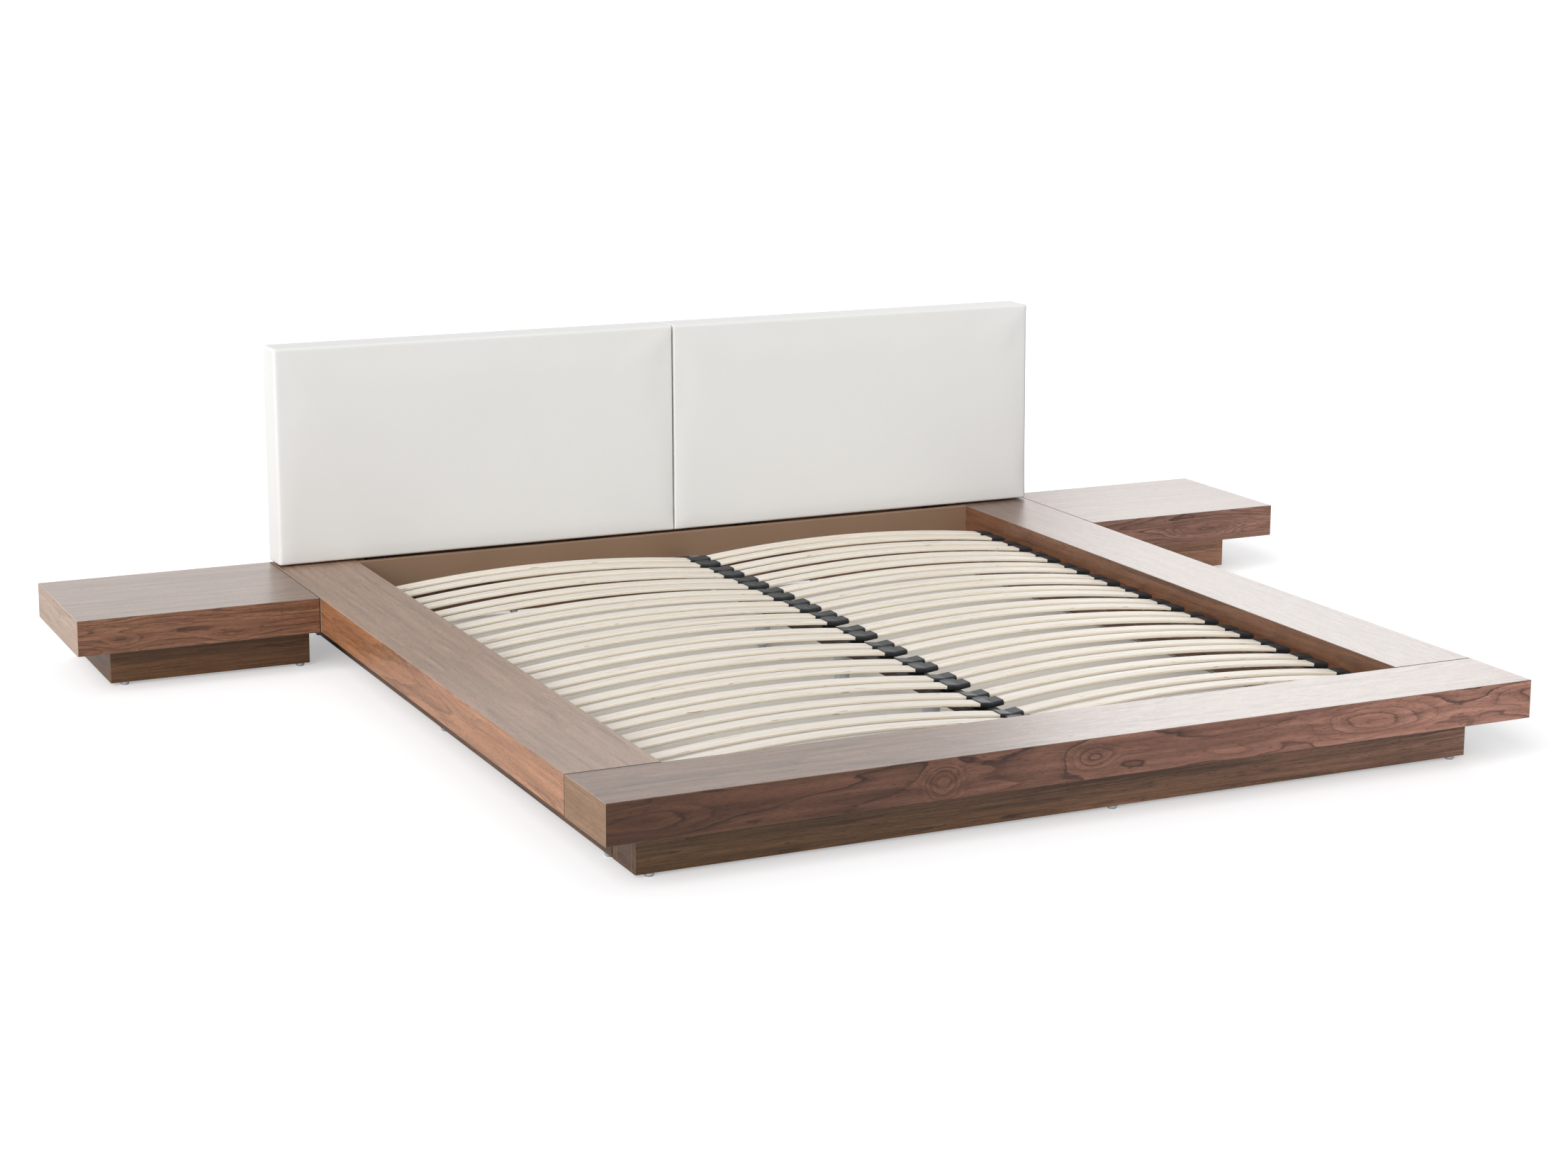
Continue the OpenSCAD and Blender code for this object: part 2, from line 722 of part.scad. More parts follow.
module bridge(barrel_l, lift) {
    l = barrel_l + 2 * bridge_end;
    w = barrel_d + 2 * pocket_t;
    foot_z = pivot_z - barrel_d / 2;
    top_z = slat_end_z + lift + pocket_play + pocket_t - bridge_drop;
    translate([-l / 2, -w / 2, foot_z]) cube([l, w, top_z - foot_z]);
    translate([-l / 2, -slat_gap / 2, top_z - bridge_t]) cube([l, slat_gap, bridge_t]);
}

// Bore for the barrel, open below for the necks
module barrel_groove(barrel_l) {
    l = barrel_l + 2 * barrel_end_play;
    w = neck_d + 2 * neck_play;
    translate([0, 0, pivot_z]) rod_x(barrel_d + 2 * barrel_play, l);
    translate([-l / 2, -w / 2, pivot_z - barrel_d]) cube([l, w, barrel_d]);
}

// Straight sleeves round both slats of one side, at the slope that a slat has between two
// places across the bay; a cut runs past the mouth
mouth = 2;

module sleeve(x0, x1, grow, edge_r) {
    x = (x0 + x1) / 2;
    a = slat_angle(x);
    l = (x1 - x0) / cos(a);
    for (s = [-1, 1]) translate([x, s * slat_centre, slat_axis_z + slat_r * cos(a)])
        rotate([0, a, 0]) translate([-l / 2, -slat_w / 2 - grow, -slat_t - grow])
            rotate([90, 0, 90]) linear_extrude(l)
                round_rect(slat_w + 2 * grow, slat_t + 2 * grow, edge_r);
}

module centre_holder(i) {
    past_centre = 1.5;
    difference() {
        union() {
            both_sides() tilted(i) sleeve(-past_centre, centre_reach, pocket_play + pocket_t, pocket_r);
            bridge(centre_barrel_l, row_lift(i));
        }
        both_sides() tilted(i)
            sleeve(centre_web_t / 2, centre_reach + mouth, pocket_play, slat_edge_r + pocket_play);
        barrel_groove(centre_barrel_l);
    }
}

module side_holder(i) {
    x0 = half_bay - side_reach;
    difference() {
        union() {
            tilted(i) sleeve(x0, side_holder_end, pocket_play + pocket_t, pocket_r);
            translate([side_holder_mid, 0, 0]) bridge(side_barrel_l, 0);
        }
        tilted(i) sleeve(x0 - mouth, side_holder_end - pocket_t, pocket_play, slat_edge_r + pocket_play);
        translate([side_holder_mid, 0, 0]) barrel_groove(side_barrel_l);
    }
}

// The three twin holders of a row
module holders_row(i) {
    color(black_plastic) centred() translate([0, row_y(i), 0]) {
        centre_holder(i);
        both_sides() side_holder(i);
    }
}

// Plinth under the bed

module plinth_board(x0, y0, w, d) {
    difference() {
        translate([x0, y0, glide_h]) cube([w, d, plinth_h]);
        dowel_holes();
        glide_places() glide_nail_hole();
    }
}

module front_plinth_board() {
    color(walnut_dark) centred() plinth_board(-plinth_x, plinth_y, 2 * plinth_x, plinth_t);
}

module front_plinth_inner_board() {
    color(walnut_dark) centred()
        plinth_board(-plinth_x, front_plinth_back - plinth_t, 2 * plinth_x, plinth_t);
}

module front_plinth_ends() {
    y0 = plinth_y + plinth_t + seat_play;
    y1 = front_plinth_back - plinth_t - seat_play;
    color(walnut_dark) centred() both_sides() plinth_board(plinth_x - plinth_t, y0, plinth_t, y1 - y0);
}

module right_side_plinth() {
    color(walnut_dark) centred()
        plinth_board(plinth_x - plinth_t, side_plinth_y, plinth_t, plinth_head - side_plinth_y);
}

module left_side_plinth() {
    color(walnut_dark) centred()
        plinth_board(-plinth_x, side_plinth_y, plinth_t, plinth_head - side_plinth_y);
}

module side_plinth_inner_boards() {
    color(walnut_dark) centred() both_sides()
        plinth_board(inner_plinth_x, side_plinth_y, plinth_t, plinth_head - side_plinth_y);
}

module rear_plinth_board() {
    reach = inner_plinth_x - seat_play;
    color(walnut_dark) centred() plinth_board(-reach, plinth_head - plinth_t, 2 * reach, plinth_t);
}

// Places of all glides, under the plinth boards and the legs
side_glide_y = spread(side_plinth_y + glide_inset, plinth_head - glide_inset, 3);
shelf_glide_x = [shelf_plinth_x0 + shelf_glide_in, shelf_plinth_x1 - shelf_glide_out];

module glide_places() {
    for (x = [-plinth_x + glide_inset, glide_offset, plinth_x - glide_inset])
        translate([x, plinth_y + plinth_t / 2, glide_h]) children();
    for (s = [-1, 1], x = [plinth_x - plinth_t / 2, inner_plinth_x + plinth_t / 2], y = side_glide_y)
        translate([s * x, y, glide_h]) children();
    for (s = [-1, 1]) translate([s * half_bay / 2, plinth_head - plinth_t / 2, glide_h]) children();
    for (y = leg_ys) translate([0, y, glide_h]) children();
    for (s = [-1, 1], x = shelf_glide_x, y = [shelf_plinth_y0, plinth_head - plinth_t])
        translate([s * x, y + plinth_t / 2, glide_h]) children();
}

module glide_nail_hole() {
    translate([0, 0, -1]) cylinder(d = glide_nail_d + 2 * hole_play, h = glide_nail_l + 2, $fn = 24);
}

module glides() {
    color(grey_plastic) centred() glide_places() {
        translate([0, 0, -glide_h / 2]) cylinder(d = glide_d, h = glide_h / 2);
        translate([0, 0, -glide_h]) cylinder(d1 = glide_d * 0.75, d2 = glide_d, h = glide_h / 2 + eps);
        translate([0, 0, -eps]) cylinder(d = glide_nail_d, h = glide_nail_l, $fn = 24);
    }
}

// Headboard

// Lean a piece back about the lower front edge of the headboard
module leaned() {
    translate([0, headboard_y, headboard_z]) rotate([-headboard_lean, 0, 0]) children();
}

half_w = half_bed - seam_play;
corner_steps = 4;
side_steps = 6;
edge_steps = 4;
cap_scales = [0.93, 0.8, 0.6, 0.35];

function turn(p, q) = q == 0 ? p : q == 1 ? [-p[1], p[0]] : q == 2 ? [-p[0], -p[1]] : [p[1], -p[0]];

// Outline of one half, a rounded rectangle whose straight sides are drawn in a little
function pad_outline(a, b, r) = [
    for (q = [0:3], i = [0:side_steps + corner_steps - 1])
        let (
            w = q % 2 == 0 ? a : b,
            h = (q % 2 == 0 ? b : a) - r,
            t = i / side_steps,
            c = 90 * (i - side_steps) / corner_steps
        )
        turn(t < 1 ? [w - pad_draw * sin(180 * t), h * (2 * t - 1)]
                   : [w - r + r * cos(c), h + r * sin(c)], q)
];

// Rings of the pad as [inset, depth], from the back edge over the side to the front edge
pad_rings = concat(
    [for (k = [0:edge_steps])
        [pad_edge_r * (1 - sin(90 * k / edge_steps)),
         headboard_t - pad_edge_r * (1 - cos(90 * k / edge_steps))]],
    [for (k = [0:edge_steps])
        [pad_edge_r * (1 - cos(90 * k / edge_steps)),
         pad_crown + pad_edge_r * (1 - sin(90 * k / edge_steps))]]
);
pad_corner_r = pad_edge_r + 3;

function pad_points(a, b) = concat(
    [for (ring = pad_rings, p = pad_outline(a - ring[0], b - ring[0], pad_corner_r - ring[0]))
        [p[0], ring[1], p[1]]],
    [for (s = cap_scales, p = pad_outline(a - pad_edge_r, b - pad_edge_r, pad_corner_r - pad_edge_r))
        [s * p[0], pad_crown * (1 - (1 - pow(s * p[0] / a, 4)) * (1 - pow(s * p[1] / b, 4))), s * p[1]]],
    [[0, headboard_t, 0], [0, 0, 0]]
);

// Closed cushion form of one half, centred on its own width and height
module pad_form(a, b) {
    n = 4 * (side_steps + corner_steps);
    m = len(pad_rings) + len(cap_scales);
    polyhedron(points = pad_points(a, b), faces = concat(
        [for (j = [0:m - 2], i = [0:n - 1]) [j * n + i, j * n + (i + 1) % n, (j + 1) * n + i]],
        [for (j = [0:m - 2], i = [0:n - 1])
            [j * n + (i + 1) % n, (j + 1) * n + (i + 1) % n, (j + 1) * n + i]],
        [for (i = [0:n - 1]) [m * n, (i + 1) % n, i]],
        [for (i = [0:n - 1]) [m * n + 1, (m - 1) * n + i, (m - 1) * n + (i + 1) % n]]
    ));
}

// Pocket at the back of a half for its timber frame, with slots below for the posts
pocket_w = half_w - 2 * foam_side_t;
pocket_h = headboard_h - 2 * foam_side_t;
pocket_d = headboard_t - foam_front_t;
pad_x = seam_play + half_w / 2;
back_recess = 1;

module post_slots(play, z1) {
    for (x = post_xs) translate([x - post_w / 2 - play, post_y0 - play, -1])
        cube([post_w + 2 * play, post_t + 2 * play, z1 + 1]);
}

module headboard_pad() {
    difference() {
        translate([pad_x, 0, headboard_h / 2]) pad_form(half_w / 2, headboard_h / 2);
        translate([pad_x - pocket_w / 2, foam_front_t, foam_side_t])
            cube([pocket_w, pocket_d + 1, pocket_h]);
        post_slots(1, foam_side_t + 1);
    }
}

module right_headboard_pad() { color(cover_white) centred() leaned() headboard_pad(); }
module left_headboard_pad() {
    color(cover_white) centred() leaned() mirror([1, 0, 0]) headboard_pad();
}

// Ladder frame of battens: two uprights at the ends, rungs at the bottom, middle and top
module headboard_frame() {
    frame_w = pocket_w - 2 * seat_play;
    frame_h = pocket_h - 2 * seat_play;
    frame_d = pocket_d - back_panel_t - back_recess - 2 * seat_play;
    window_h = (frame_h - 3 * batten_w) / 2;
    difference() {
        translate([pad_x - frame_w / 2, foam_front_t + seat_play, foam_side_t + seat_play])
            cube([frame_w, frame_d, frame_h]);
        for (k = [0, 1])
            translate([pad_x - frame_w / 2 + batten_w, foam_front_t - 1,
                       foam_side_t + seat_play + batten_w + k * (window_h + batten_w)])
                cube([frame_w - 2 * batten_w, frame_d + 2, window_h]);
        post_slots(seat_play, post_reach + 1);
    }
}

module right_headboard_frame() { color(pine) centred() leaned() headboard_frame(); }
module left_headboard_frame() {
    color(pine) centred() leaned() mirror([1, 0, 0]) headboard_frame();
}

module headboard_back_panels() {
    color(fibreboard) centred() leaned() both_sides()
        translate([pad_x - pocket_w / 2 + seat_play, headboard_t - back_recess - back_panel_t,
                   foam_side_t + seat_play])
            cube([pocket_w - 2 * seat_play, back_panel_t, pocket_h - 2 * seat_play]);
}

module headboard_posts() {
    color(pine) centred() difference() {
        both_sides() for (x = post_xs) along_x(x - post_w / 2, x + post_w / 2) polygon(post_profile);
        headboard_bolt_holes();
    }
}

module headboard_bolts() {
    color(steel) centred() headboard_bolt_places() rotate([-90, 0, 0]) bolt(headboard_bolt_l);
}

// Bedside shelves

module bedside_shelf() {
    along_x(half_bed + end_veneer_t, half_all - end_veneer_t)
        translate([shelf_y, rail_bottom]) box_section(shelf_d);
}

module right_bedside_shelf() {
    color(walnut) centred() difference() {
        bedside_shelf();
        dowel_holes();
    }
}

module left_bedside_shelf() {
    color(walnut) centred() difference() {
        mirror([1, 0, 0]) bedside_shelf();
        dowel_holes();
    }
}

module shelf_end_blocks() {
    color(walnut) centred() both_sides() difference() {
        union() {
            translate([half_bed + end_veneer_t, shelf_y, rail_bottom])
                rotate([90, 0, 90]) end_block(shelf_d, true);
            translate([half_all - end_veneer_t, shelf_y + shelf_d, rail_bottom])
                rotate([0, 0, 180]) rotate([90, 0, 90]) end_block(shelf_d, true);
        }
        shelf_bolt_holes();
    }
}

module shelf_plinth_fronts() {
    w = shelf_plinth_x1 - shelf_plinth_x0;
    color(walnut_dark) centred() both_sides() {
        plinth_board(shelf_plinth_x0, shelf_plinth_y0, w, plinth_t);
        plinth_board(shelf_plinth_x0, plinth_head - plinth_t, w, plinth_t);
    }
}

module shelf_plinth_sides() {
    y0 = shelf_plinth_y0 + plinth_t + seat_play;
    y1 = plinth_head - plinth_t - seat_play;
    color(walnut_dark) centred() both_sides()
        for (x = [shelf_plinth_x0, shelf_plinth_x1 - plinth_t]) plinth_board(x, y0, plinth_t, y1 - y0);
}

module shelf_bolts() {
    color(steel) centred() both_sides() shelf_bolt_places() rotate([0, 90, 0]) bolt(shelf_bolt_l);
}

foot_rail();
left_side_rail();
right_side_rail();
rail_end_blocks();
dowels();
corner_plates();
wood_screws();
head_panel();
rear_panel();
head_box_cleats();
side_ledgers();
centre_beam();
beam_brackets();
beam_legs();
holder_pegs();
front_plinth_board();
front_plinth_inner_board();
front_plinth_ends();
left_side_plinth();
right_side_plinth();
side_plinth_inner_boards();
rear_plinth_board();
glides();
left_headboard_pad();
right_headboard_pad();
left_headboard_frame();
right_headboard_frame();
headboard_back_panels();
headboard_posts();
headboard_bolts();
left_bedside_shelf();
right_bedside_shelf();
shelf_end_blocks();
shelf_plinth_fronts();
shelf_plinth_sides();
shelf_bolts();
for (i = [1:rows]) slats_row(i - 1);
for (i = [1:rows]) holders_row(i - 1);
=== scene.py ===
# %% [markdown]
# # A walnut platform bed
#
# This lesson dresses a platform bed that was drawn beforehand: a low walnut border round
# twelve rows of sprung slats, a recessed plinth, a padded headboard in two halves and two
# bedside shelves. The drawn solids are loaded as a fixed frame, in metres, with X across
# the bed, Y from the foot to the head and Z up from the floor. We don't move them. We give
# them finishes, upholster the headboard, and photograph the bed in a plain studio.

# %% Load the frame
import math

import bmesh
import bpy
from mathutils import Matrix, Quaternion, Vector


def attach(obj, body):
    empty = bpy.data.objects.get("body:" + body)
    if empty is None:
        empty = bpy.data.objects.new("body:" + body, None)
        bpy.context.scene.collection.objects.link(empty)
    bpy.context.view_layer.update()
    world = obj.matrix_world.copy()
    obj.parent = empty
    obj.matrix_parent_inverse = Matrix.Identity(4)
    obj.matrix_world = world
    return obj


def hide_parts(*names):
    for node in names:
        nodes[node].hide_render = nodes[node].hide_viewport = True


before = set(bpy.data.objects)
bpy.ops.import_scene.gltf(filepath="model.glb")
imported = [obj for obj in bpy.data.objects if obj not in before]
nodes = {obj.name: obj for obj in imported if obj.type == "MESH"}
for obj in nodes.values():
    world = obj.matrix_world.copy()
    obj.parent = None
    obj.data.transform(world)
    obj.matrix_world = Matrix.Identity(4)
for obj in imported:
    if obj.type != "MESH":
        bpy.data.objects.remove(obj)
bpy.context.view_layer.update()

print("solids loaded:", len(nodes))

# %% [markdown]
# ## The camera
#
# A photograph of a box-shaped thing tells where the camera stood: level edges run to
# vanishing points. The numbers below were worked out that way from the corners of the
# border, the shelves and the headboard. The photographer stood to the left of the foot
# end, a little over five metres from the bed, with the camera held at the height of a
# person's head and turned slightly down. We set a turn, a tilt and a slight roll, and move
# the lens up a little, as one does to keep upright edges upright.

# %% Set up the camera
IMAGE_W, IMAGE_H = 2212, 1659
SENSOR_W = 36.0
camera_at = Vector((-3.1448, -6.2054, 1.8826))
camera_turn, camera_tilt, camera_roll = 25.555, -10.764, 0.305
focal_px = 4131.1
lens_row = 660


def looking(turn, tilt):
    """The direction of a view that turns right from +Y and tilts up from level, in degrees."""
    a, b = math.radians(turn), math.radians(tilt)
    return Vector((math.sin(a) * math.cos(b), math.cos(a) * math.cos(b), math.sin(b)))


camera = bpy.data.objects.new("studio_camera", bpy.data.cameras.new("studio_camera"))
bpy.context.scene.collection.objects.link(camera)
camera.location = camera_at
camera.rotation_mode = "QUATERNION"
camera.rotation_quaternion = (
    looking(camera_turn, camera_tilt).to_track_quat("-Z", "Y")
    @ Quaternion((0, 0, 1), math.radians(camera_roll))
)
camera.data.sensor_width = SENSOR_W
camera.data.lens = SENSOR_W * focal_px / IMAGE_W
camera.data.shift_y = (lens_row - IMAGE_H / 2) / IMAGE_W
bpy.context.scene.camera = camera
print("lens in mm:", round(camera.data.lens, 1), "shift:", round(camera.data.shift_y, 3))

# %% [markdown]
# ## Tools for finishes
#
# Colours are written as sRGB hex values, as they are in a paint program, and Blender wants
# them linear, so one function turns them. Every finish is a small graph of nodes, and one
# more function adds a node with its settings and its links. An input may be a value, one
# output of a node, or a whole node, which then gives its first output in use. A finish
# begins with its shader and ends when the patterns are connected to it.
#
# Inputs go by name or by number. The ones that come back all the time are worth knowing: a
# Map Range takes its value in input 0, the range it comes from in 1 and 2, and the range
# that it becomes in 3 and 4. A Mix of colours takes the amount in 0 and the colours in 6
# and 7.
#
# Sizes of patterns are given in millimetres along and across the grain. A Mapping node
# before each noise turns them into a scale, so the noise's own scale stays 1.

# %% Helpers for colours and nodes


def linear(hex_colour):
    """An sRGB hex colour as linear red, green, blue and an alpha of 1."""
    parts = [int(hex_colour[i:i + 2], 16) / 255 for i in (1, 3, 5)]
    return [c / 12.92 if c <= 0.04045 else ((c + 0.055) / 1.055) ** 2.4 for c in parts] + [1.0]


def connect(tree, node, inputs):
    """Gives a node its inputs, by name or number: values, outputs or whole nodes."""
    for name, value in inputs.items():
        if isinstance(value, bpy.types.Node):
            value = next(output for output in value.outputs if output.enabled)
        if isinstance(value, bpy.types.NodeSocket):
            tree.links.new(value, node.inputs[name])
        else:
            node.inputs[name].default_value = value


def add(tree, kind, inputs=None, **settings):
    """Adds a node with its settings, which are its own choices, and its inputs."""
    made = tree.nodes.new("ShaderNode" + kind)
    for name, value in settings.items():
        setattr(made, name, value)
    connect(tree, made, inputs or {})
    return made


def begin_finish(name, roughness, ior=1.5, metallic=0.0):
    """A new material with one shader, and the place on the piece that its patterns start from."""
    finish = bpy.data.materials.new(name)
    finish.use_nodes = True
    tree = finish.node_tree
    tree.nodes.clear()
    shader = add(tree, "BsdfPrincipled", {"Roughness": roughness, "IOR": ior, "Metallic": metallic})
    add(tree, "OutputMaterial", {"Surface": shader})
    return finish, tree, shader, add(tree, "TexCoord").outputs["Object"]


def per_mm(along, across, deep=None):
    """Scale for a pattern whose features are this long, wide and deep in millimetres."""
    return (1000 / along, 1000 / across, 1000 / (deep or across))


SMOOTH = {"interpolation_type": "SMOOTHSTEP"}
print("white card:", [round(c, 3) for c in linear("#F2F2F2")])

# %% [markdown]
# ## Studio
#
# The bed was photographed on white, and cut out, so hardly any shadow is left round it. We
# use a pale floor and a white world. The floor shows a little brighter to the camera than
# it lights the bed, so that it reads as white in the open. Inside the plinth it has no
# such lift, and reads as the shaded, slightly warm floor that shows between the slats. The
# world shows white in reflections too, because the lacquered tops mirror the white room
# behind them at this low angle.

# %% White world
world = bpy.data.worlds.new("white_room")
bpy.context.scene.world = world
world.use_nodes = True
tree = world.node_tree
tree.nodes.clear()
ROOM_LEVEL = 0.42
rays = add(tree, "LightPath")
direct, mirrored, through = [rays.outputs[f"Is {ray} Ray"] for ray in ("Camera", "Glossy", "Transmission")]
seen = add(tree, "Math", {0: direct, 1: mirrored}, operation="MAXIMUM")
seen = add(tree, "Math", {0: seen, 1: through}, operation="MAXIMUM")
level = add(tree, "MapRange", {0: seen, 1: 0.0, 2: 1.0, 3: ROOM_LEVEL, 4: 1.0})
room = add(tree, "Background", {"Color": linear("#FFFFFF"), "Strength": level})
add(tree, "OutputWorld", {"Surface": room})
print("room level:", ROOM_LEVEL)

# %% Pale floor
FLOOR_HALF = 40.0
floor_mesh = bpy.data.meshes.new("studio_floor")
floor_mesh.from_pydata(
    [(x * FLOOR_HALF, y * FLOOR_HALF, 0) for x, y in ((-1, -1), (1, -1), (1, 1), (-1, 1))],
    [], [(0, 1, 2, 3)],
)
studio_floor = bpy.data.objects.new("studio_floor", floor_mesh)
bpy.context.scene.collection.objects.link(studio_floor)
print("floor across in m:", 2 * FLOOR_HALF)

# %% Paint of the floor
FLOOR_LIFT = 0.4
PLINTH_X, PLINTH_Y = 0.93, (-0.975, 1.12)
middle_y, half_y = sum(PLINTH_Y) / 2, (PLINTH_Y[1] - PLINTH_Y[0]) / 2
floor_paint = bpy.data.materials.new("floor_paint")
floor_paint.use_nodes = True
tree = floor_paint.node_tree
tree.nodes.clear()
spot = add(tree, "SeparateXYZ", {0: add(tree, "TexCoord").outputs["Object"]}).outputs
aside = add(tree, "Math", {0: spot[0]}, operation="ABSOLUTE")
aside = add(tree, "Math", {0: aside, 1: PLINTH_X}, operation="GREATER_THAN")
beyond = add(tree, "Math", {0: spot[1], 1: middle_y}, operation="SUBTRACT")
beyond = add(tree, "Math", {0: beyond}, operation="ABSOLUTE")
beyond = add(tree, "Math", {0: beyond, 1: half_y}, operation="GREATER_THAN")
outside = add(tree, "Math", {0: aside, 1: beyond}, operation="MAXIMUM")
shades = {0: outside, 6: linear("#F3F0EA"), 7: linear("#E6E6E7")}
paint = add(tree, "BsdfDiffuse", {"Color": add(tree, "Mix", shades, data_type="RGBA")})
rays = add(tree, "LightPath")
lift = add(tree, "Math", {0: rays.outputs["Is Camera Ray"], 1: FLOOR_LIFT}, operation="MULTIPLY")
lift = add(tree, "Math", {0: lift, 1: outside}, operation="MULTIPLY")
glow = add(tree, "Emission", {"Color": linear("#FFFFFF"), "Strength": lift})
both = add(tree, "AddShader", {0: paint, 1: glow})
add(tree, "OutputMaterial", {"Surface": both})
floor_mesh.materials.append(floor_paint)
print("floor lift:", FLOOR_LIFT, "outside x", PLINTH_X, "and y", PLINTH_Y)

# %% [markdown]
# ## Lamps
#
# The key light is a very large soft lamp far off to the left of the foot end, so far that
# the whole floor is lit evenly. A sun lamp with a wide angle stands for it. Left faces are
# the lightest, then tops, then the faces towards us.
#
# Two panels stand behind the bed, one to the right and one all along the rear wall. They
# add little light of their own, but the lacquered tops mirror them at this low angle: the
# right side turns nearly white, and the left side only grey, as in the photograph. The
# power of a lamp is worked out from the level that a white card facing it shows at the bed.

# %% Key light
KEY_LEVEL = 0.86
KEY_FROM, KEY_SPREAD = (-0.70, -0.49, 0.52), 50
key = bpy.data.lights.new("key_light", "SUN")
key.energy = KEY_LEVEL * math.pi
key.angle = math.radians(KEY_SPREAD)
key_holder = bpy.data.objects.new("key_light", key)
bpy.context.scene.collection.objects.link(key_holder)
key_holder.rotation_mode = "QUATERNION"
key_holder.rotation_quaternion = Vector(KEY_FROM).to_track_quat("Z", "Y")
print("key light:", round(key.energy, 2))

# %% Panels behind the bed


def panel_light(name, at, towards, size, card_level):
    """A rectangular lamp at which a white card at the aimed point shows card_level."""
    lamp = bpy.data.lights.new(name, "AREA")
    lamp.shape = "RECTANGLE"
    lamp.size, lamp.size_y = size
    reach = Vector(towards) - Vector(at)
    lamp.energy = card_level * math.pi ** 2 * reach.length ** 2
    holder = bpy.data.objects.new(name, lamp)
    bpy.context.scene.collection.objects.link(holder)
    holder.location = at
    holder.rotation_mode = "QUATERNION"
    holder.rotation_quaternion = reach.to_track_quat("-Z", "Y")
    holder.visible_camera = False
    shown = card_level * math.pi * reach.length_squared / (size[0] * size[1])
    print(name, "power in W:", round(lamp.energy), "brightness in a mirror:", round(shown, 2))


panel_light("right_panel", (5.45, 4.6, 3.1), (1.0, 0.0, 0.2), (3.9, 2.6), 0.215)
panel_light("rear_wall_panel", (0.5, 7.0, 2.2), (0.0, 0.0, 0.2), (14.0, 4.0), 0.22)

# %% [markdown]
# ## Walnut veneer
#
# The border and the shelves are board with American walnut veneer, sliced flat from the
# log and lacquered satin. A flat slice cuts the growth rings at a shallow angle, so they
# show as long tongues, islands and loops round knots. Each year's growth darkens softly
# and ends in a dark line. Between the lines run fine fibres and short dark pores.
#
# The rings are made as contour lines: a slow, stretched noise is a landscape, and each
# height in it draws one line. A knot is one more hill at a chosen place, with the rings
# closed round it. A finer noise lets the lines waver every 60 mm along the grain.

# %% Landscape of the rings
WOBBLE_MM = (60, 14)


def grain_first(tree, place, along, start):
    """The place as (along the grain, across, deep), moved to its own part of the log."""
    parts = add(tree, "SeparateXYZ", {0: place}).outputs
    order = {"x": (0, 1, 2), "y": (1, 0, 2), "z": (2, 0, 1)}[along]
    turned = add(tree, "CombineXYZ", {i: parts[k] for i, k in enumerate(order)})
    return add(tree, "VectorMath", {0: turned, 1: start}, operation="ADD")


def knot(tree, place, at, half_size, rings):
    """A hill round one place: at and half_size are in metres, rings is its height in rings."""
    away = add(tree, "VectorMath", {0: place, 1: at}, operation="SUBTRACT")
    scale = [1 / h if h else 0.0 for h in half_size]
    away = add(tree, "VectorMath", {0: away, 1: scale}, operation="MULTIPLY")
    away = add(tree, "VectorMath", {0: away}, operation="LENGTH")
    return add(tree, "MapRange", {0: away, 1: 0.0, 2: 1.0, 3: rings, 4: 0.0}, **SMOOTH)


def ring_landscape(tree, sheet, place, ring_size, ring_lines, knots):
    """The height of the landscape, counted in rings."""
    scaled = add(tree, "Mapping", {"Vector": sheet, "Scale": per_mm(*ring_size)})
    land = {"Vector": scaled, "Scale": 1.0, "Detail": 1.3, "Roughness": 0.4, "Distortion": 0.35}
    land = add(tree, "TexNoise", land)
    height = add(tree, "Math", {0: land, 1: ring_lines}, operation="MULTIPLY")
    scaled = add(tree, "Mapping", {"Vector": sheet, "Scale": per_mm(*WOBBLE_MM)})
    wobble = add(tree, "TexNoise", {"Vector": scaled, "Scale": 1.0, "Detail": 3.0, "Roughness": 0.6})
    wobble = add(tree, "MapRange", {0: wobble, 1: 0.2, 2: 0.8, 3: -0.22, 4: 0.22})
    height = add(tree, "Math", {0: height, 1: wobble}, operation="ADD")
    for at, half_size, rings in knots:
        hill = knot(tree, place, at, half_size, rings)
        height = add(tree, "Math", {0: height, 1: hill}, operation="ADD")
    return height


print("veneer landscape ready")

# %% [markdown]
# ### From heights to lines
#
# The fraction of the height is the time of the year. Just before a whole number the wood
# turns dark, and just after it the dark ends. Some years are dark and some hardly show, so
# each line gets its own strength from a white noise of its number, and patches of the
# sheet, about 300 mm long, are fainter than others.

# %% Ring lines
PATCH_MM = (310, 90)


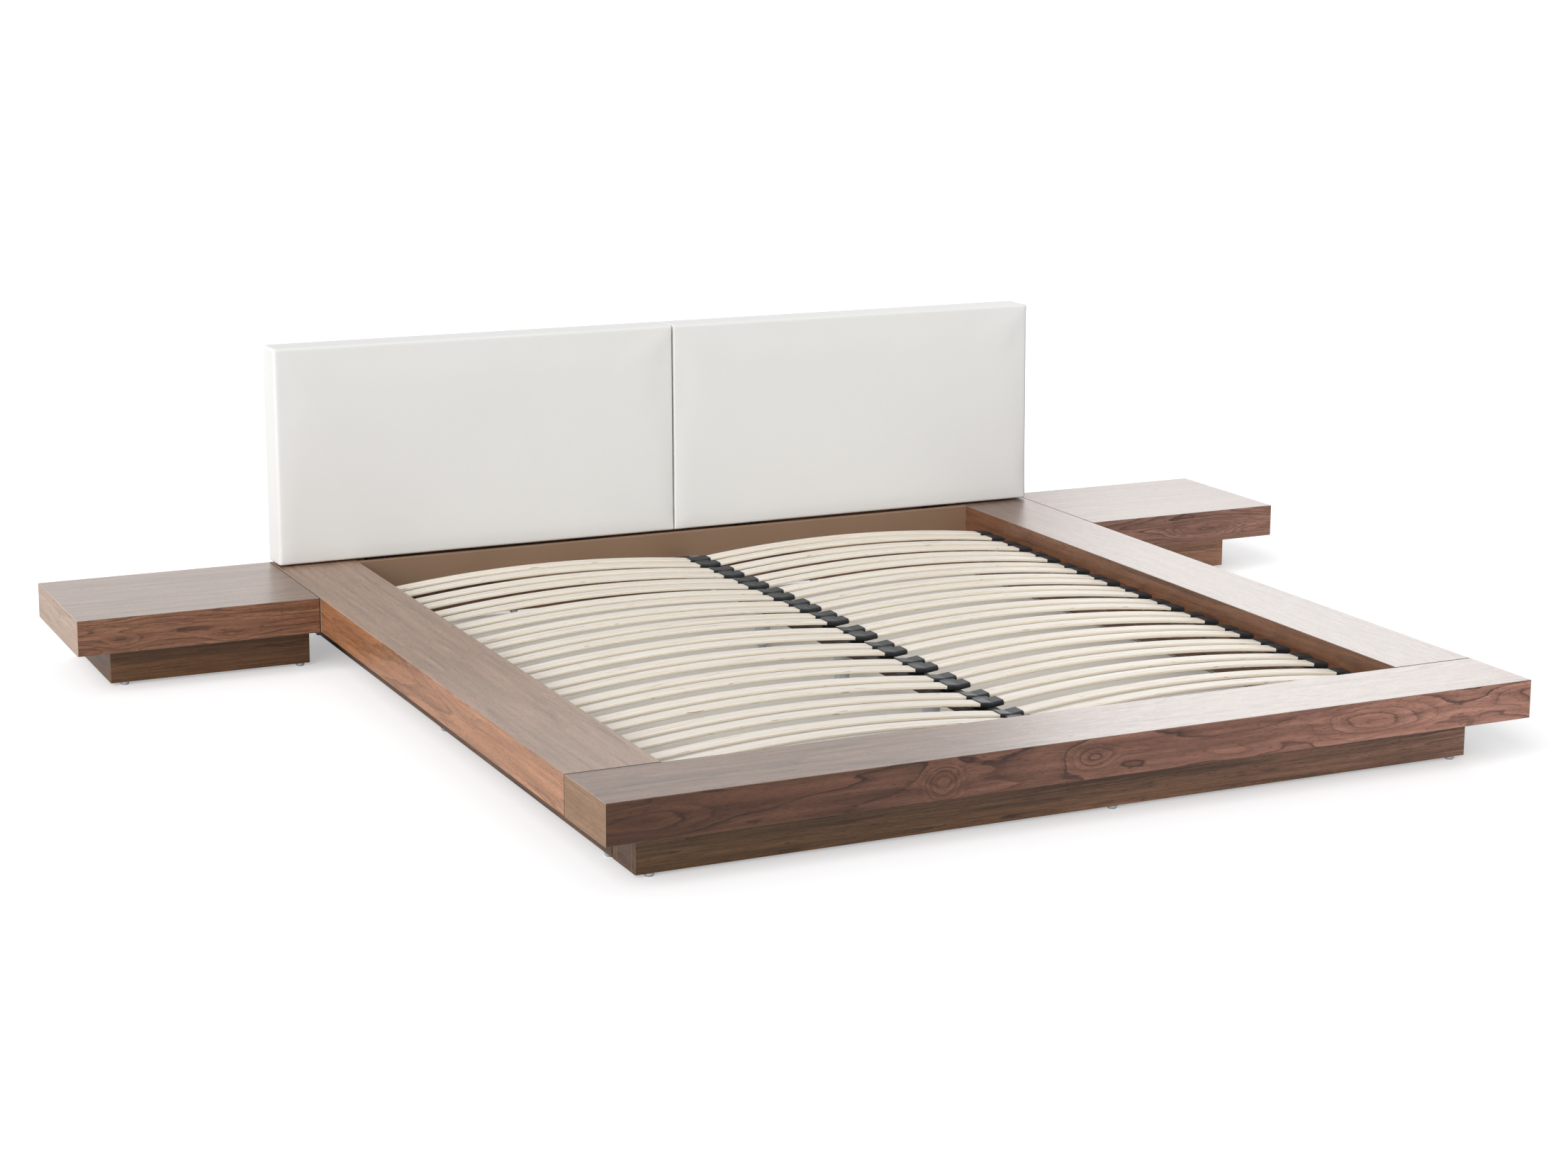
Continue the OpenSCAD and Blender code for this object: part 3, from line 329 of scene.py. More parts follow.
def ring_marks(tree, sheet, height, figure):
    """How dark the rings are, 0 to figure."""
    year = add(tree, "Math", {0: height}, operation="FRACT")
    after = add(tree, "MapRange", {0: year, 1: 0.0, 2: 0.14, 3: 1.0, 4: 0.0}, **SMOOTH)
    before = add(tree, "MapRange", {0: year, 1: 0.25, 2: 1.0, 3: 0.0, 4: 1.0}, **SMOOTH)
    before = add(tree, "Math", {0: before, 1: 0.5}, operation="MULTIPLY")
    late = add(tree, "MapRange", {0: year, 1: 0.76, 2: 1.0, 3: 0.0, 4: 1.0}, **SMOOTH)
    thin = add(tree, "Math", {0: after, 1: late}, operation="MAXIMUM")
    ring = add(tree, "Math", {0: before, 1: thin}, operation="MAXIMUM")

    number = add(tree, "Math", {0: height}, operation="ROUND")
    own = add(tree, "TexWhiteNoise", {"W": number}, noise_dimensions="1D")
    own = add(tree, "MapRange", {0: own, 1: 0.0, 2: 1.0, 3: 0.45, 4: 1.0})
    ring = add(tree, "Math", {0: ring, 1: own}, operation="MULTIPLY")

    scaled = add(tree, "Mapping", {"Vector": sheet, "Scale": per_mm(*PATCH_MM)})
    patches = add(tree, "TexNoise", {"Vector": scaled, "Scale": 1.0, "Detail": 1.0})
    patches = add(tree, "MapRange", {0: patches, 1: 0.35, 2: 0.62, 3: 0.6, 4: 1.0}, **SMOOTH)
    patches = add(tree, "Math", {0: patches, 1: figure}, operation="MULTIPLY")
    return add(tree, "Math", {0: ring, 1: patches}, operation="MULTIPLY")


print("ring lines ready")

# %% [markdown]
# ### Fibres, pores and worn edges with a painted highlight
#
# Fibres are a much finer noise that is bent by the same landscape, so that they flow round
# the knots. Real fibres are finer than a tenth of a millimetre, and what the eye sees of
# them are bundles, drawn 2.2 mm wide here. Pores are really 0.2 mm wide, too fine to show
# from here, so they are drawn about 1 mm wide and 16 mm long. Broad streaks of tone are
# about 14 mm wide, as wide as a few years' growth.
#
# Along the edges a thin light line is painted. It is partly rubbed lacquer and partly a painted highlight,
# the light that the eased edge catches. A Bevel node finds it: near an edge, its rounded normal leaves the
# flat one.

# %% Fine structure
FIBRE_MM, STREAK_MM, PORE_MM = (60, 2.2), (420, 14), (16, 1.1)
SWAY = 0.03


def fine_structure(tree, sheet, height, ring_lines):
    """Fibres, broad streaks and pores, swayed by the landscape."""
    sway = add(tree, "Math", {0: height, 1: SWAY / ring_lines}, operation="MULTIPLY")
    sway = add(tree, "CombineXYZ", {1: sway, 2: sway})
    flowing = add(tree, "VectorMath", {0: sheet, 1: sway}, operation="ADD")
    scaled = add(tree, "Mapping", {"Vector": flowing, "Scale": per_mm(*FIBRE_MM)})
    fibres = add(tree, "TexNoise", {"Vector": scaled, "Scale": 1.0, "Detail": 3.0, "Roughness": 0.6})
    scaled = add(tree, "Mapping", {"Vector": flowing, "Scale": per_mm(*STREAK_MM)})
    streaks = add(tree, "TexNoise", {"Vector": scaled, "Scale": 1.0, "Detail": 3.0})
    scaled = add(tree, "Mapping", {"Vector": flowing, "Scale": per_mm(*PORE_MM)})
    pores = add(tree, "TexNoise", {"Vector": scaled, "Scale": 1.0, "Detail": 0.0})
    pores = add(tree, "MapRange", {0: pores, 1: 0.66, 2: 0.73, 3: 0.0, 4: 0.55}, **SMOOTH)
    return fibres, streaks, pores


EDGE_MM = 1.6


def edge_wear_and_highlight(tree, strength):
    """How much a spot lies on an edge, 0 to strength: the worn edge and its painted highlight."""
    rounded = add(tree, "Bevel", {"Radius": EDGE_MM / 1000}, samples=6)
    flat = add(tree, "NewGeometry").outputs["Normal"]
    same = add(tree, "VectorMath", {0: rounded, 1: flat}, operation="DOT_PRODUCT")
    return add(tree, "MapRange", {0: same, 1: 0.995, 2: 0.9, 3: 0.0, 4: strength})


print("edge line in mm:", EDGE_MM)

# %% [markdown]
# ### Upright faces and joints
#
# The sheets on the upright faces come from other leaves of veneer than the tops, so they have their own
# tone. Where that tone runs from dark to light along a board, as on the foot rail, a little slower at
# first, it is partly the veneer's own tone and partly painted light: the faces are lighter where more light
# falls on them. The tops were sliced nearer the quarter, so their rings are fainter. Where two boards butt,
# a dark line shows, too dull to mirror anything. The gap is a hair wide in reality. Here it is drawn 2.5 mm
# wide, on the end of the one board.

# %% Tone and painted light of the faces
JOINT_LINE, JOINT_FADE = 0.0025, 0.0035
TONE_AND_LIGHT_POWER = 1.4


def uprightness(tree):
    """1 on upright faces and 0 on level ones."""
    facing = add(tree, "SeparateXYZ", {0: add(tree, "TexCoord").outputs["Normal"]}).outputs[2]
    facing = add(tree, "Math", {0: facing}, operation="ABSOLUTE")
    return add(tree, "MapRange", {0: facing, 1: 0.3, 2: 0.7, 3: 1.0, 4: 0.0})


def face_tone_and_painted_light(tree, place, standing, upright, run):
    """What a colour is multiplied by: white on tops, and upright along the run elsewhere, a change that is
    partly painted light.
    """
    axis, first, last = run
    spot = add(tree, "SeparateXYZ", {0: place}).outputs["xyz".index(axis)]
    passed = add(tree, "MapRange", {0: spot, 1: first, 2: last, 3: 0.0, 4: 1.0})
    passed = add(tree, "Math", {0: passed, 1: TONE_AND_LIGHT_POWER}, operation="POWER")
    start, end = [[*gain, 1.0] for gain in upright]
    gain = add(tree, "Mix", {0: passed, 6: start, 7: end}, data_type="RGBA")
    return add(tree, "Mix", {0: standing, 6: linear("#FFFFFF"), 7: gain}, data_type="RGBA")


def butt_joint(tree, place, axis, joint_at):
    """1 in the dark line of a joint at this coordinate, in metres."""
    spot = add(tree, "SeparateXYZ", {0: place}).outputs["xyz".index(axis)]
    off = add(tree, "Math", {0: spot, 1: joint_at}, operation="SUBTRACT")
    off = add(tree, "Math", {0: off}, operation="ABSOLUTE")
    return add(tree, "MapRange", {0: off, 1: JOINT_LINE, 2: JOINT_FADE, 3: 0.95, 4: 0.0})


print("joint line in mm:", 1000 * JOINT_LINE)

# %% [markdown]
# ### The lacquered sheet
#
# Now the parts come together. Satin lacquer on wood: IOR 1.5, roughness 0.3, a little
# duller where the fibres are light. The fibres and pores are a relief of 0.4 mm, far
# deeper than real, but a faint strength keeps it as flat as lacquer is.

# %% Walnut


def walnut(
    name, along, start, tone, line, ring_size, ring_lines, figure,
    upright=((1, 1, 1), (1, 1, 1)), run=("x", -1, 1), knots=(), joint=None, roughness=0.3, fibre=0.2,
):
    """Lacquered walnut veneer.

    tone holds the light and the dark colour of the tops, and upright is what the colours on the upright
    faces are multiplied by, at the start and at the end of the run; the change along the run is partly
    painted light. joint is the axis and the place, in metres, of a butt joint, which shows as a dark line.
    fibre is how much lighter and darker the fibres are than the mean.
    """
    finish, tree, shader, place = begin_finish(name, roughness)
    sheet = grain_first(tree, place, along, start)
    height = ring_landscape(tree, sheet, place, ring_size, ring_lines, knots)
    ring = ring_marks(tree, sheet, height, figure)
    standing = uprightness(tree)
    fainter = add(tree, "MapRange", {0: standing, 1: 0.0, 2: 1.0, 3: 0.5, 4: 1.0})
    ring = add(tree, "Math", {0: ring, 1: fainter}, operation="MULTIPLY")
    fibres, streaks, pores = fine_structure(tree, sheet, height, ring_lines)

    light, dark, line = [linear(c) for c in (*tone, line)]
    streaks = add(tree, "MapRange", {0: streaks, 1: 0.3, 2: 0.7, 3: 0.0, 4: 1.0})
    colour = add(tree, "Mix", {0: streaks, 6: light, 7: dark}, data_type="RGBA")
    colour = add(tree, "Mix", {0: ring, 6: colour, 7: line}, data_type="RGBA")
    shade = add(tree, "MapRange", {0: fibres, 1: 0.25, 2: 0.75, 3: 0.97 - fibre, 4: 0.97 + fibre})
    colour = add(tree, "VectorMath", {0: colour, "Scale": shade}, operation="SCALE")
    colour = add(tree, "Mix", {0: pores, 6: colour, 7: line}, data_type="RGBA")
    # The gain on the upright faces; its change along the run is partly painted light.
    gain = face_tone_and_painted_light(tree, place, standing, upright, run)
    colour = add(tree, "VectorMath", {0: colour, 1: gain}, operation="MULTIPLY")
    # The light line along the edges is partly wear and partly a painted highlight.
    edge = {0: edge_wear_and_highlight(tree, 0.5), 6: colour, 7: linear("#C9A988")}
    colour = add(tree, "Mix", edge, data_type="RGBA")
    sheen = add(tree, "MapRange", {0: fibres, 1: 0.3, 2: 0.7, 3: roughness - 0.04, 4: roughness + 0.06})
    if joint:
        gap = butt_joint(tree, place, *joint)
        colour = add(tree, "Mix", {0: gap, 6: colour, 7: linear("#2A1D16")}, data_type="RGBA")
        sheen = add(tree, "Math", {0: sheen, 1: gap}, operation="MAXIMUM")

    relief = add(tree, "Math", {0: fibres, 1: pores}, operation="SUBTRACT")
    relief = add(tree, "Bump", {"Height": relief, "Strength": 0.12, "Distance": 0.0004})
    connect(tree, shader, {"Base Color": colour, "Roughness": sheen, "Normal": relief})
    print("made", name)
    return finish


RAIL_JOINT_Y = min(v.co.y for v in nodes["left_side_rail"].data.vertices)
SHELF_JOINT_X = max(v.co.x for v in nodes["left_bedside_shelf"].data.vertices)
print("butt joints at y", round(RAIL_JOINT_Y, 3), "and x", round(SHELF_JOINT_X, 3))

# %% [markdown]
# ### Leaves for each board
#
# Each board has its own leaf of veneer: its own part of the log, its own colours, and its
# own size of the figure. The foot rail has the boldest loops, about 330 mm long and 60 mm
# wide. The shelves are cut from leaves with long, close and strong lines, and with darker
# fibres. The ends of the rails and shelves wear paler leaves.

# %% Veneer of the rails
walnut_foot_rail = walnut(
    "walnut_foot_rail", "x", (0.31, 0.12, 0.44), ("#8C6F5E", "#644B3C"), "#2B1C16",
    ring_size=(330, 62), ring_lines=6, figure=1.0,
    # The foot rail's front runs from dark to light along x: partly its own tone, partly painted light.
    upright=((0.457, 0.287, 0.178), (2.01, 1.636, 1.706)), run=("x", -1.15, 1.05),
    knots=(
        ((-1.02, 0, 0.140), (0.200, 0, 0.045), 1.6), ((-0.38, 0, 0.146), (0.070, 0, 0.060), 4.0),
        ((-0.03, 0, 0.158), (0.090, 0, 0.045), 2.6), ((0.68, 0, 0.150), (0.240, 0, 0.055), 3.4),
        ((1.17, 0, 0.150), (0.200, 0, 0.065), 3.0),
    ),
)
walnut_left_rail = walnut(
    "walnut_left_rail", "y", (2.3, 1.4, 0.7), ("#AB8B75", "#866A57"), "#4A3328",
    ring_size=(520, 70), ring_lines=7, figure=0.6, upright=((1.33, 1.0, 0.74), (1.13, 0.80, 0.54)),
    run=("y", -1.1, 0.7), joint=("y", RAIL_JOINT_Y),
)
walnut_right_rail = walnut(
    "walnut_right_rail", "y", (5.1, 3.3, 1.9), ("#7B6050", "#61493B"), "#3B261C",
    ring_size=(520, 70), ring_lines=7, figure=0.6, upright=((1.04, 0.80, 0.62), (1.04, 0.80, 0.62)),
    joint=("y", RAIL_JOINT_Y),
)
walnut_rail_ends = walnut(
    "walnut_rail_ends", "y", (7.7, 0.4, 2.2), ("#A07A58", "#84603F"), "#5A3F2B",
    ring_size=(600, 30), ring_lines=6, figure=0.5,
)

# %% Veneer of the shelves
walnut_shelf_ends = walnut(
    "walnut_shelf_ends", "y", (9.1, 4.4, 1.2), ("#BFA28C", "#A58872"), "#6E5442",
    ring_size=(600, 30), ring_lines=6, figure=0.5,
)
walnut_left_shelf = walnut(
    "walnut_left_shelf", "x", (3.9, 2.6, 5.2), ("#957A66", "#725647"), "#2E1D15",
    ring_size=(700, 46), ring_lines=14, figure=1.0, fibre=0.38,
    upright=((1.02, 0.74, 0.58), (1.02, 0.74, 0.58)), joint=("x", SHELF_JOINT_X),
    knots=(((-1.36, 0, 0.105), (0.10, 0, 0.05), 1.5), ((-1.62, 0, 0.12), (0.08, 0, 0.05), 1.5)),
)
walnut_right_shelf = walnut(
    "walnut_right_shelf", "x", (6.2, 7.1, 3.4), ("#7D6254", "#5F473B"), "#2E1D15",
    ring_size=(600, 46), ring_lines=13, figure=1.0, fibre=0.34,
    upright=((1.62, 1.34, 1.27), (1.62, 1.34, 1.27)), joint=("x", -SHELF_JOINT_X),
    knots=(((1.5, 0, 0.14), (0.16, 0, 0.04), 4.0),),
)

# %% [markdown]
# ## Plinth veneer
#
# The recessed plinths wear quarter-cut walnut: the slice crosses the rings squarely, so
# they show as fine straight lines. It is darker and more olive than the border, and its
# lacquer is duller, roughness 0.42. The same function makes it, with the rings stretched
# so far that no loop is left.

# %% Straight-grained walnut
PLINTH_CUT = {
    "ring_size": (1500, 22), "ring_lines": 13, "figure": 0.8, "roughness": 0.42, "fibre": 0.34,
}
# The plinth fronts are multiplied up to two and a half times lighter along x, and the shelf plinths up to
# four times: painted light that lifts them out of the shade under the border, and partly their own tone.
plinth_across = walnut(
    "plinth_veneer_across", "x", (1.3, 0.2, 0.1), ("#7A5A43", "#543D2C"), "#2A1D15",
    upright=((1.0, 0.97, 0.68), (2.5, 2.5, 3.1)), run=("x", -1.1, 1.3), **PLINTH_CUT,
)
shelf_plinth_across = walnut(
    "shelf_plinth_veneer", "x", (5.3, 1.2, 2.1), ("#7A5A43", "#543D2C"), "#2A1D15",
    upright=((1.2, 1.03, 0.69), (3.95, 3.7, 4.0)), run=("x", -1.4, 1.4), **PLINTH_CUT,
)
plinth_lengthwise = walnut(
    "plinth_veneer_lengthwise", "y", (4.3, 2.2, 1.1), ("#80604A", "#584131"), "#2C1F17", **PLINTH_CUT,
)

# %% [markdown]
# ## Birch slats
#
# A sprung slat is seven thin layers of birch, glued in a curved press and milled to width
# with rounded edges. Its edge shows the layers as fine light and dark stripes that follow
# the curve, so the stripes are drawn from the distance to the axis of the arch. The middle
# rows sit on taller centre holders, which tilts their slats, so the stripes are lifted in
# the same way. The measures of the arch and of the rows are those of the drawing, in metres.

# %% Layers of the laminate
SLAT_MID, SLAT_END, SLAT_L = 0.4544, 0.9058, 0.9028
ARCH_AXIS_Z, ARCH_RADIUS = -3.3546, 3.5276
SLAT_T, PLIES = 0.008, 7
FIRST_ROW_Y, ROW_PITCH = -0.811491, 0.153818
MIDDLE_STEP, MIDDLE_LIFT, LIFT_STEP = 6, 0.021, 0.003


def slat_lift(tree, side, y):
    """How far a slat is lifted at this distance from the middle of the bed, in its row."""
    row = add(tree, "Math", {0: y, 1: FIRST_ROW_Y}, operation="SUBTRACT")
    row = add(tree, "Math", {0: row, 1: ROW_PITCH}, operation="DIVIDE")
    row = add(tree, "Math", {0: row}, operation="ROUND")
    steps = add(tree, "Math", {0: row, 1: MIDDLE_STEP}, operation="SUBTRACT")
    steps = add(tree, "Math", {0: steps}, operation="ABSOLUTE")
    lower = add(tree, "Math", {0: steps, 1: LIFT_STEP}, operation="MULTIPLY")
    lift = add(tree, "Math", {0: MIDDLE_LIFT, 1: lower}, operation="SUBTRACT")
    lift = add(tree, "Math", {0: lift, 1: 0.0}, operation="MAXIMUM")
    share = add(tree, "Math", {0: SLAT_END, 1: side}, operation="SUBTRACT")
    share = add(tree, "Math", {0: share, 1: SLAT_L}, operation="DIVIDE")
    return add(tree, "Math", {0: lift, 1: share}, operation="MULTIPLY")


def arch_radius(tree, x, y, z):
    """The distance of a spot to the axis of its slat's arch."""
    side = add(tree, "Math", {0: x}, operation="ABSOLUTE")
    up = add(tree, "Math", {0: z, 1: ARCH_AXIS_Z}, operation="SUBTRACT")
    up = add(tree, "Math", {0: up, 1: slat_lift(tree, side, y)}, operation="SUBTRACT")
    out = add(tree, "Math", {0: side, 1: SLAT_MID}, operation="SUBTRACT")
    spoke = add(tree, "CombineXYZ", {0: out, 1: up})
    return add(tree, "VectorMath", {0: spoke}, operation="LENGTH")


def ply_edges(tree, radius):
    """The colours of the edge: a stripe for each layer, darker in the lowest one."""
    layer = add(tree, "MapRange", {0: radius, 1: ARCH_RADIUS - SLAT_T, 2: ARCH_RADIUS, 3: 0.0, 4: PLIES})
    swing = add(tree, "Math", {0: layer, 1: math.pi}, operation="MULTIPLY")
    swing = add(tree, "Math", {0: swing}, operation="SINE")
    stripe = add(tree, "MapRange", {0: swing, 1: -0.5, 2: 0.5, 3: 0.0, 4: 1.0})
    plies = {0: stripe, 6: linear("#F8F1E3"), 7: linear("#E9DAC0")}
    plies = add(tree, "Mix", plies, data_type="RGBA")
    lowest = add(tree, "MapRange", {0: layer, 1: 0.3, 2: 1.0, 3: 0.4, 4: 0.0})
    return add(tree, "Mix", {0: lowest, 6: plies, 7: linear("#8A6A4C")}, data_type="RGBA")


print("layer thickness in mm:", round(1000 * SLAT_T / PLIES, 2))

# %% [markdown]
# ### The faces of the birch
#
# The top of a slat is cream, sealed with a thin resin coat that leaves a satin face. Birch
# has a faint figure of long streaks, a few pinkish brown lines, and small dark flecks, and
# neighbouring slats differ a little in tone. The streaks are 5.5 mm wide, as the growth of
# a year or two is. The threads of fibre between them are drawn 1.4 mm wide and the flecks
# 3 mm wide, about three times as coarse as real, because finer ones would not show.
# Resin-coated birch: IOR 1.5, roughness 0.5, and a low specular level, because the coat is
# thin and the fibres stand up through it.

# %% Laminated birch
YEAR_MM, TONE_MM, VEIN_MM = (620, 5.5, 1.3), (900, 47, 60), (700, 16, 40)
FLECK_MM, THREAD_MM = (34, 3.2, 3), (90, 1.4, 1.3)


def birch_face(tree, unrolled, place):
    """The colours of the face: streaks, the tone of each slat, and lines of figure."""
    scaled = add(tree, "Mapping", {"Vector": unrolled, "Scale": per_mm(*YEAR_MM)})
    streaks = add(tree, "TexNoise", {"Vector": scaled, "Scale": 1.0, "Detail": 3.0, "Distortion": 0.3})
    streaks = add(tree, "MapRange", {0: streaks, 1: 0.32, 2: 0.68, 3: 0.0, 4: 1.0})
    face = {0: streaks, 6: linear("#F1EDE6"), 7: linear("#E4D9CA")}
    face = add(tree, "Mix", face, data_type="RGBA")
    scaled = add(tree, "Mapping", {"Vector": place, "Scale": per_mm(*TONE_MM)})
    boards = add(tree, "TexNoise", {"Vector": scaled, "Scale": 1.0, "Detail": 0.0})
    boards = add(tree, "MapRange", {0: boards, 1: 0.35, 2: 0.65, 3: 0.0, 4: 0.5})
    face = add(tree, "Mix", {0: boards, 6: face, 7: linear("#E7DFD4")}, data_type="RGBA")
    scaled = add(tree, "Mapping", {"Vector": unrolled, "Scale": per_mm(*VEIN_MM)})
    hills = add(tree, "TexNoise", {"Vector": scaled, "Scale": 1.0, "Detail": 1.0, "Distortion": 0.4})
    vein = add(tree, "Math", {0: hills, 1: 5.0}, operation="MULTIPLY")
    vein = add(tree, "Math", {0: vein}, operation="FRACT")
    vein = add(tree, "MapRange", {0: vein, 1: 0.0, 2: 0.16, 3: 0.45, 4: 0.0}, **SMOOTH)
    return add(tree, "Mix", {0: vein, 6: face, 7: linear("#B4937A")}, data_type="RGBA")


def laminated_birch():
    """Resin-coated birch laminate with cream faces and striped edges."""
    finish, tree, shader, place = begin_finish("laminated_birch", 0.5)
    x, y, z = add(tree, "SeparateXYZ", {0: place}).outputs
    radius = arch_radius(tree, x, y, z)
    unrolled = add(tree, "CombineXYZ", {0: x, 1: y, 2: radius})
    facing = add(tree, "SeparateXYZ", {0: add(tree, "TexCoord").outputs["Normal"]}).outputs[1]
    facing = add(tree, "Math", {0: facing}, operation="ABSOLUTE")
    edge = add(tree, "MapRange", {0: facing, 1: 0.45, 2: 0.85, 3: 0.0, 4: 1.0}, **SMOOTH)
    sides = {0: edge, 6: birch_face(tree, unrolled, place), 7: ply_edges(tree, radius)}
    colour = add(tree, "Mix", sides, data_type="RGBA")
    scaled = add(tree, "Mapping", {"Vector": unrolled, "Scale": per_mm(*FLECK_MM)})
    flecks = add(tree, "TexNoise", {"Vector": scaled, "Scale": 1.0, "Detail": 0.0})
    flecks = add(tree, "MapRange", {0: flecks, 1: 0.79, 2: 0.83, 3: 0.0, 4: 0.6}, **SMOOTH)
    colour = add(tree, "Mix", {0: flecks, 6: colour, 7: linear("#7B5A45")}, data_type="RGBA")
    scaled = add(tree, "Mapping", {"Vector": unrolled, "Scale": per_mm(*THREAD_MM)})
    threads = add(tree, "TexNoise", {"Vector": scaled, "Scale": 1.0, "Detail": 2.0})
    shade = add(tree, "MapRange", {0: threads, 1: 0.3, 2: 0.7, 3: 0.93, 4: 1.05})
    colour = add(tree, "VectorMath", {0: colour, "Scale": shade}, operation="SCALE")
    relief = add(tree, "Bump", {"Height": threads, "Strength": 0.15, "Distance": 0.0004})
    connect(tree, shader, {"Base Color": colour, "Specular IOR Level": 0.2, "Normal": relief})
    print("made", finish.name)
    return finish


birch = laminated_birch()

# %% [markdown]
# ## Plain timber out of sight
#
# Dowels, cleats and the headboard's timber frames are planed softwood. Nobody sees them in the finished
# bed, but the part may be taken apart, so they get a simple finish with early and late wood as stripes 9 mm
# wide, and fibres drawn 1.5 mm wide. Unfinished softwood: IOR 1.5, roughness 0.65. The beam under the
# holders is the same wood with a dark, matt stain, because it shows through the gaps. The posts of the
# headboard get the same dark colour, which also paints the shade in the thin gap under the headboard.

# %% Softwood and stained wood
STRIPE_MM, SOFT_FIBRE_MM = (900, 9), (60, 1.5)


def softwood(name, along, early, late, roughness=0.65):
    """Planed softwood with early and late wood as wide stripes."""
    finish, tree, shader, place = begin_finish(name, roughness)
    sheet = grain_first(tree, place, along, (0.2, 0.5, 0.9))
    scaled = add(tree, "Mapping", {"Vector": sheet, "Scale": per_mm(*STRIPE_MM)})
    rings = add(tree, "TexNoise", {"Vector": scaled, "Scale": 1.0, "Detail": 1.0, "Distortion": 0.3})
    rings = add(tree, "MapRange", {0: rings, 1: 0.4, 2: 0.62, 3: 0.0, 4: 1.0})
    colour = add(tree, "Mix", {0: rings, 6: linear(early), 7: linear(late)}, data_type="RGBA")
    scaled = add(tree, "Mapping", {"Vector": sheet, "Scale": per_mm(*SOFT_FIBRE_MM)})
    fibres = add(tree, "TexNoise", {"Vector": scaled, "Scale": 1.0, "Detail": 2.0})
    shade = add(tree, "MapRange", {0: fibres, 1: 0.0, 2: 1.0, 3: 0.85, 4: 1.12})
    colour = add(tree, "VectorMath", {0: colour, "Scale": shade}, operation="SCALE")
    relief = add(tree, "Bump", {"Height": fibres, "Strength": 0.2, "Distance": 0.0004})
    connect(tree, shader, {"Base Color": colour, "Normal": relief})
    print("made", name)
    return finish


pine_across = softwood("planed_pine_across", "x", "#DDBF92", "#C1955F")
stained_beam = softwood("stained_beam", "y", "#35261F", "#231814", roughness=0.6)
# Dark posts: their colour is also painted shade for the gap under the headboard.
posts_dark_as_shade = softwood("posts_dark_as_shade", "z", "#35261F", "#231814", roughness=0.6)

# %% [markdown]
# ## Painted head panel
#
# The panel at the head end of the slats is board with a sprayed satin paint in taupe. The
# paint levels out, and leaves only a faint orange-peel surface, 2.4 mm from crest to crest,
# and slight clouds of tone as wide as the spray. Satin paint: IOR 1.5, roughness 0.4.

# %% Taupe paint
SPRAY_MM, PEEL_MM = 240, 2.4
taupe_paint, tree, shader, place = begin_finish("taupe_paint", 0.4)
scaled = add(tree, "Mapping", {"Vector": place, "Scale": per_mm(SPRAY_MM, SPRAY_MM)})
clouds = add(tree, "TexNoise", {"Vector": scaled, "Scale": 1.0, "Detail": 2.0})
colour = {0: clouds, 6: linear("#81664F"), 7: linear("#8E735D")}
colour = add(tree, "Mix", colour, data_type="RGBA")
# A lighter line along the edges: partly rubbed paint, partly a painted highlight on the eased edge.
edge = {0: edge_wear_and_highlight(tree, 0.4), 6: colour, 7: linear("#B79A80")}
colour = add(tree, "Mix", edge, data_type="RGBA")
scaled = add(tree, "Mapping", {"Vector": place, "Scale": per_mm(PEEL_MM, PEEL_MM)})
peel = add(tree, "TexNoise", {"Vector": scaled, "Scale": 1.0, "Detail": 1.0})
relief = add(tree, "Bump", {"Height": peel, "Strength": 0.12, "Distance": 0.0003})
connect(tree, shader, {"Base Color": colour, "Normal": relief})
print("made", taupe_paint.name)

# %% [markdown]
# ## Black slat holders and other plastics
#
# The holders are moulded in black, rubber-like plastic from a mould with a fine spark
# texture, which breaks the highlight into a soft sheen. Black polypropylene: IOR 1.5,
# roughness 0.45. The texture is about 0.1 mm in reality and is drawn ten times as coarse.
# Faint scuffs of 14 mm change the sheen a little. The glides under the plinths and the
# legs of the beam are light grey nylon, IOR 1.53, a little smoother.

# %% Moulded plastics
SCUFF_MM, SPARK_MM = 14, 1.0


def moulded_plastic(name, colour_a, colour_b, roughness, ior, specular):
    """Injection moulding with a spark texture and faint scuffs."""
    finish, tree, shader, place = begin_finish(name, roughness, ior)
    scaled = add(tree, "Mapping", {"Vector": place, "Scale": per_mm(SCUFF_MM, SCUFF_MM)})
    scuff = add(tree, "TexNoise", {"Vector": scaled, "Scale": 1.0, "Detail": 3.0})
    colour = {0: scuff, 6: linear(colour_a), 7: linear(colour_b)}
    colour = add(tree, "Mix", colour, data_type="RGBA")
    sheen = add(tree, "MapRange", {0: scuff, 1: 0.0, 2: 1.0, 3: roughness - 0.06, 4: roughness + 0.08})
    scaled = add(tree, "Mapping", {"Vector": place, "Scale": per_mm(SPARK_MM, SPARK_MM)})
    spark = add(tree, "TexNoise", {"Vector": scaled, "Scale": 1.0, "Detail": 2.0})
    relief = add(tree, "Bump", {"Height": spark, "Strength": 0.15, "Distance": 0.0003})
    connect(tree, shader, {"Base Color": colour, "Roughness": sheen, "Normal": relief})
    connect(tree, shader, {"Specular IOR Level": specular})
    print("made", name)
    return finish


holder_plastic = moulded_plastic("black_moulded_plastic", "#202224", "#2E3032", 0.45, 1.5, 0.3)
glide_nylon = moulded_plastic("grey_nylon", "#A9ADB5", "#BDC1C8", 0.35, 1.53, 0.5)

# %% [markdown]
# ## Zinc-plated steel
#
# Plates, brackets, screws and bolts are steel with a bright zinc plate. The plate follows
# the rolled steel under it: a pale grey metal with slightly cloudy reflections, 9 mm from
# cloud to cloud. Metallic 1, roughness 0.3.

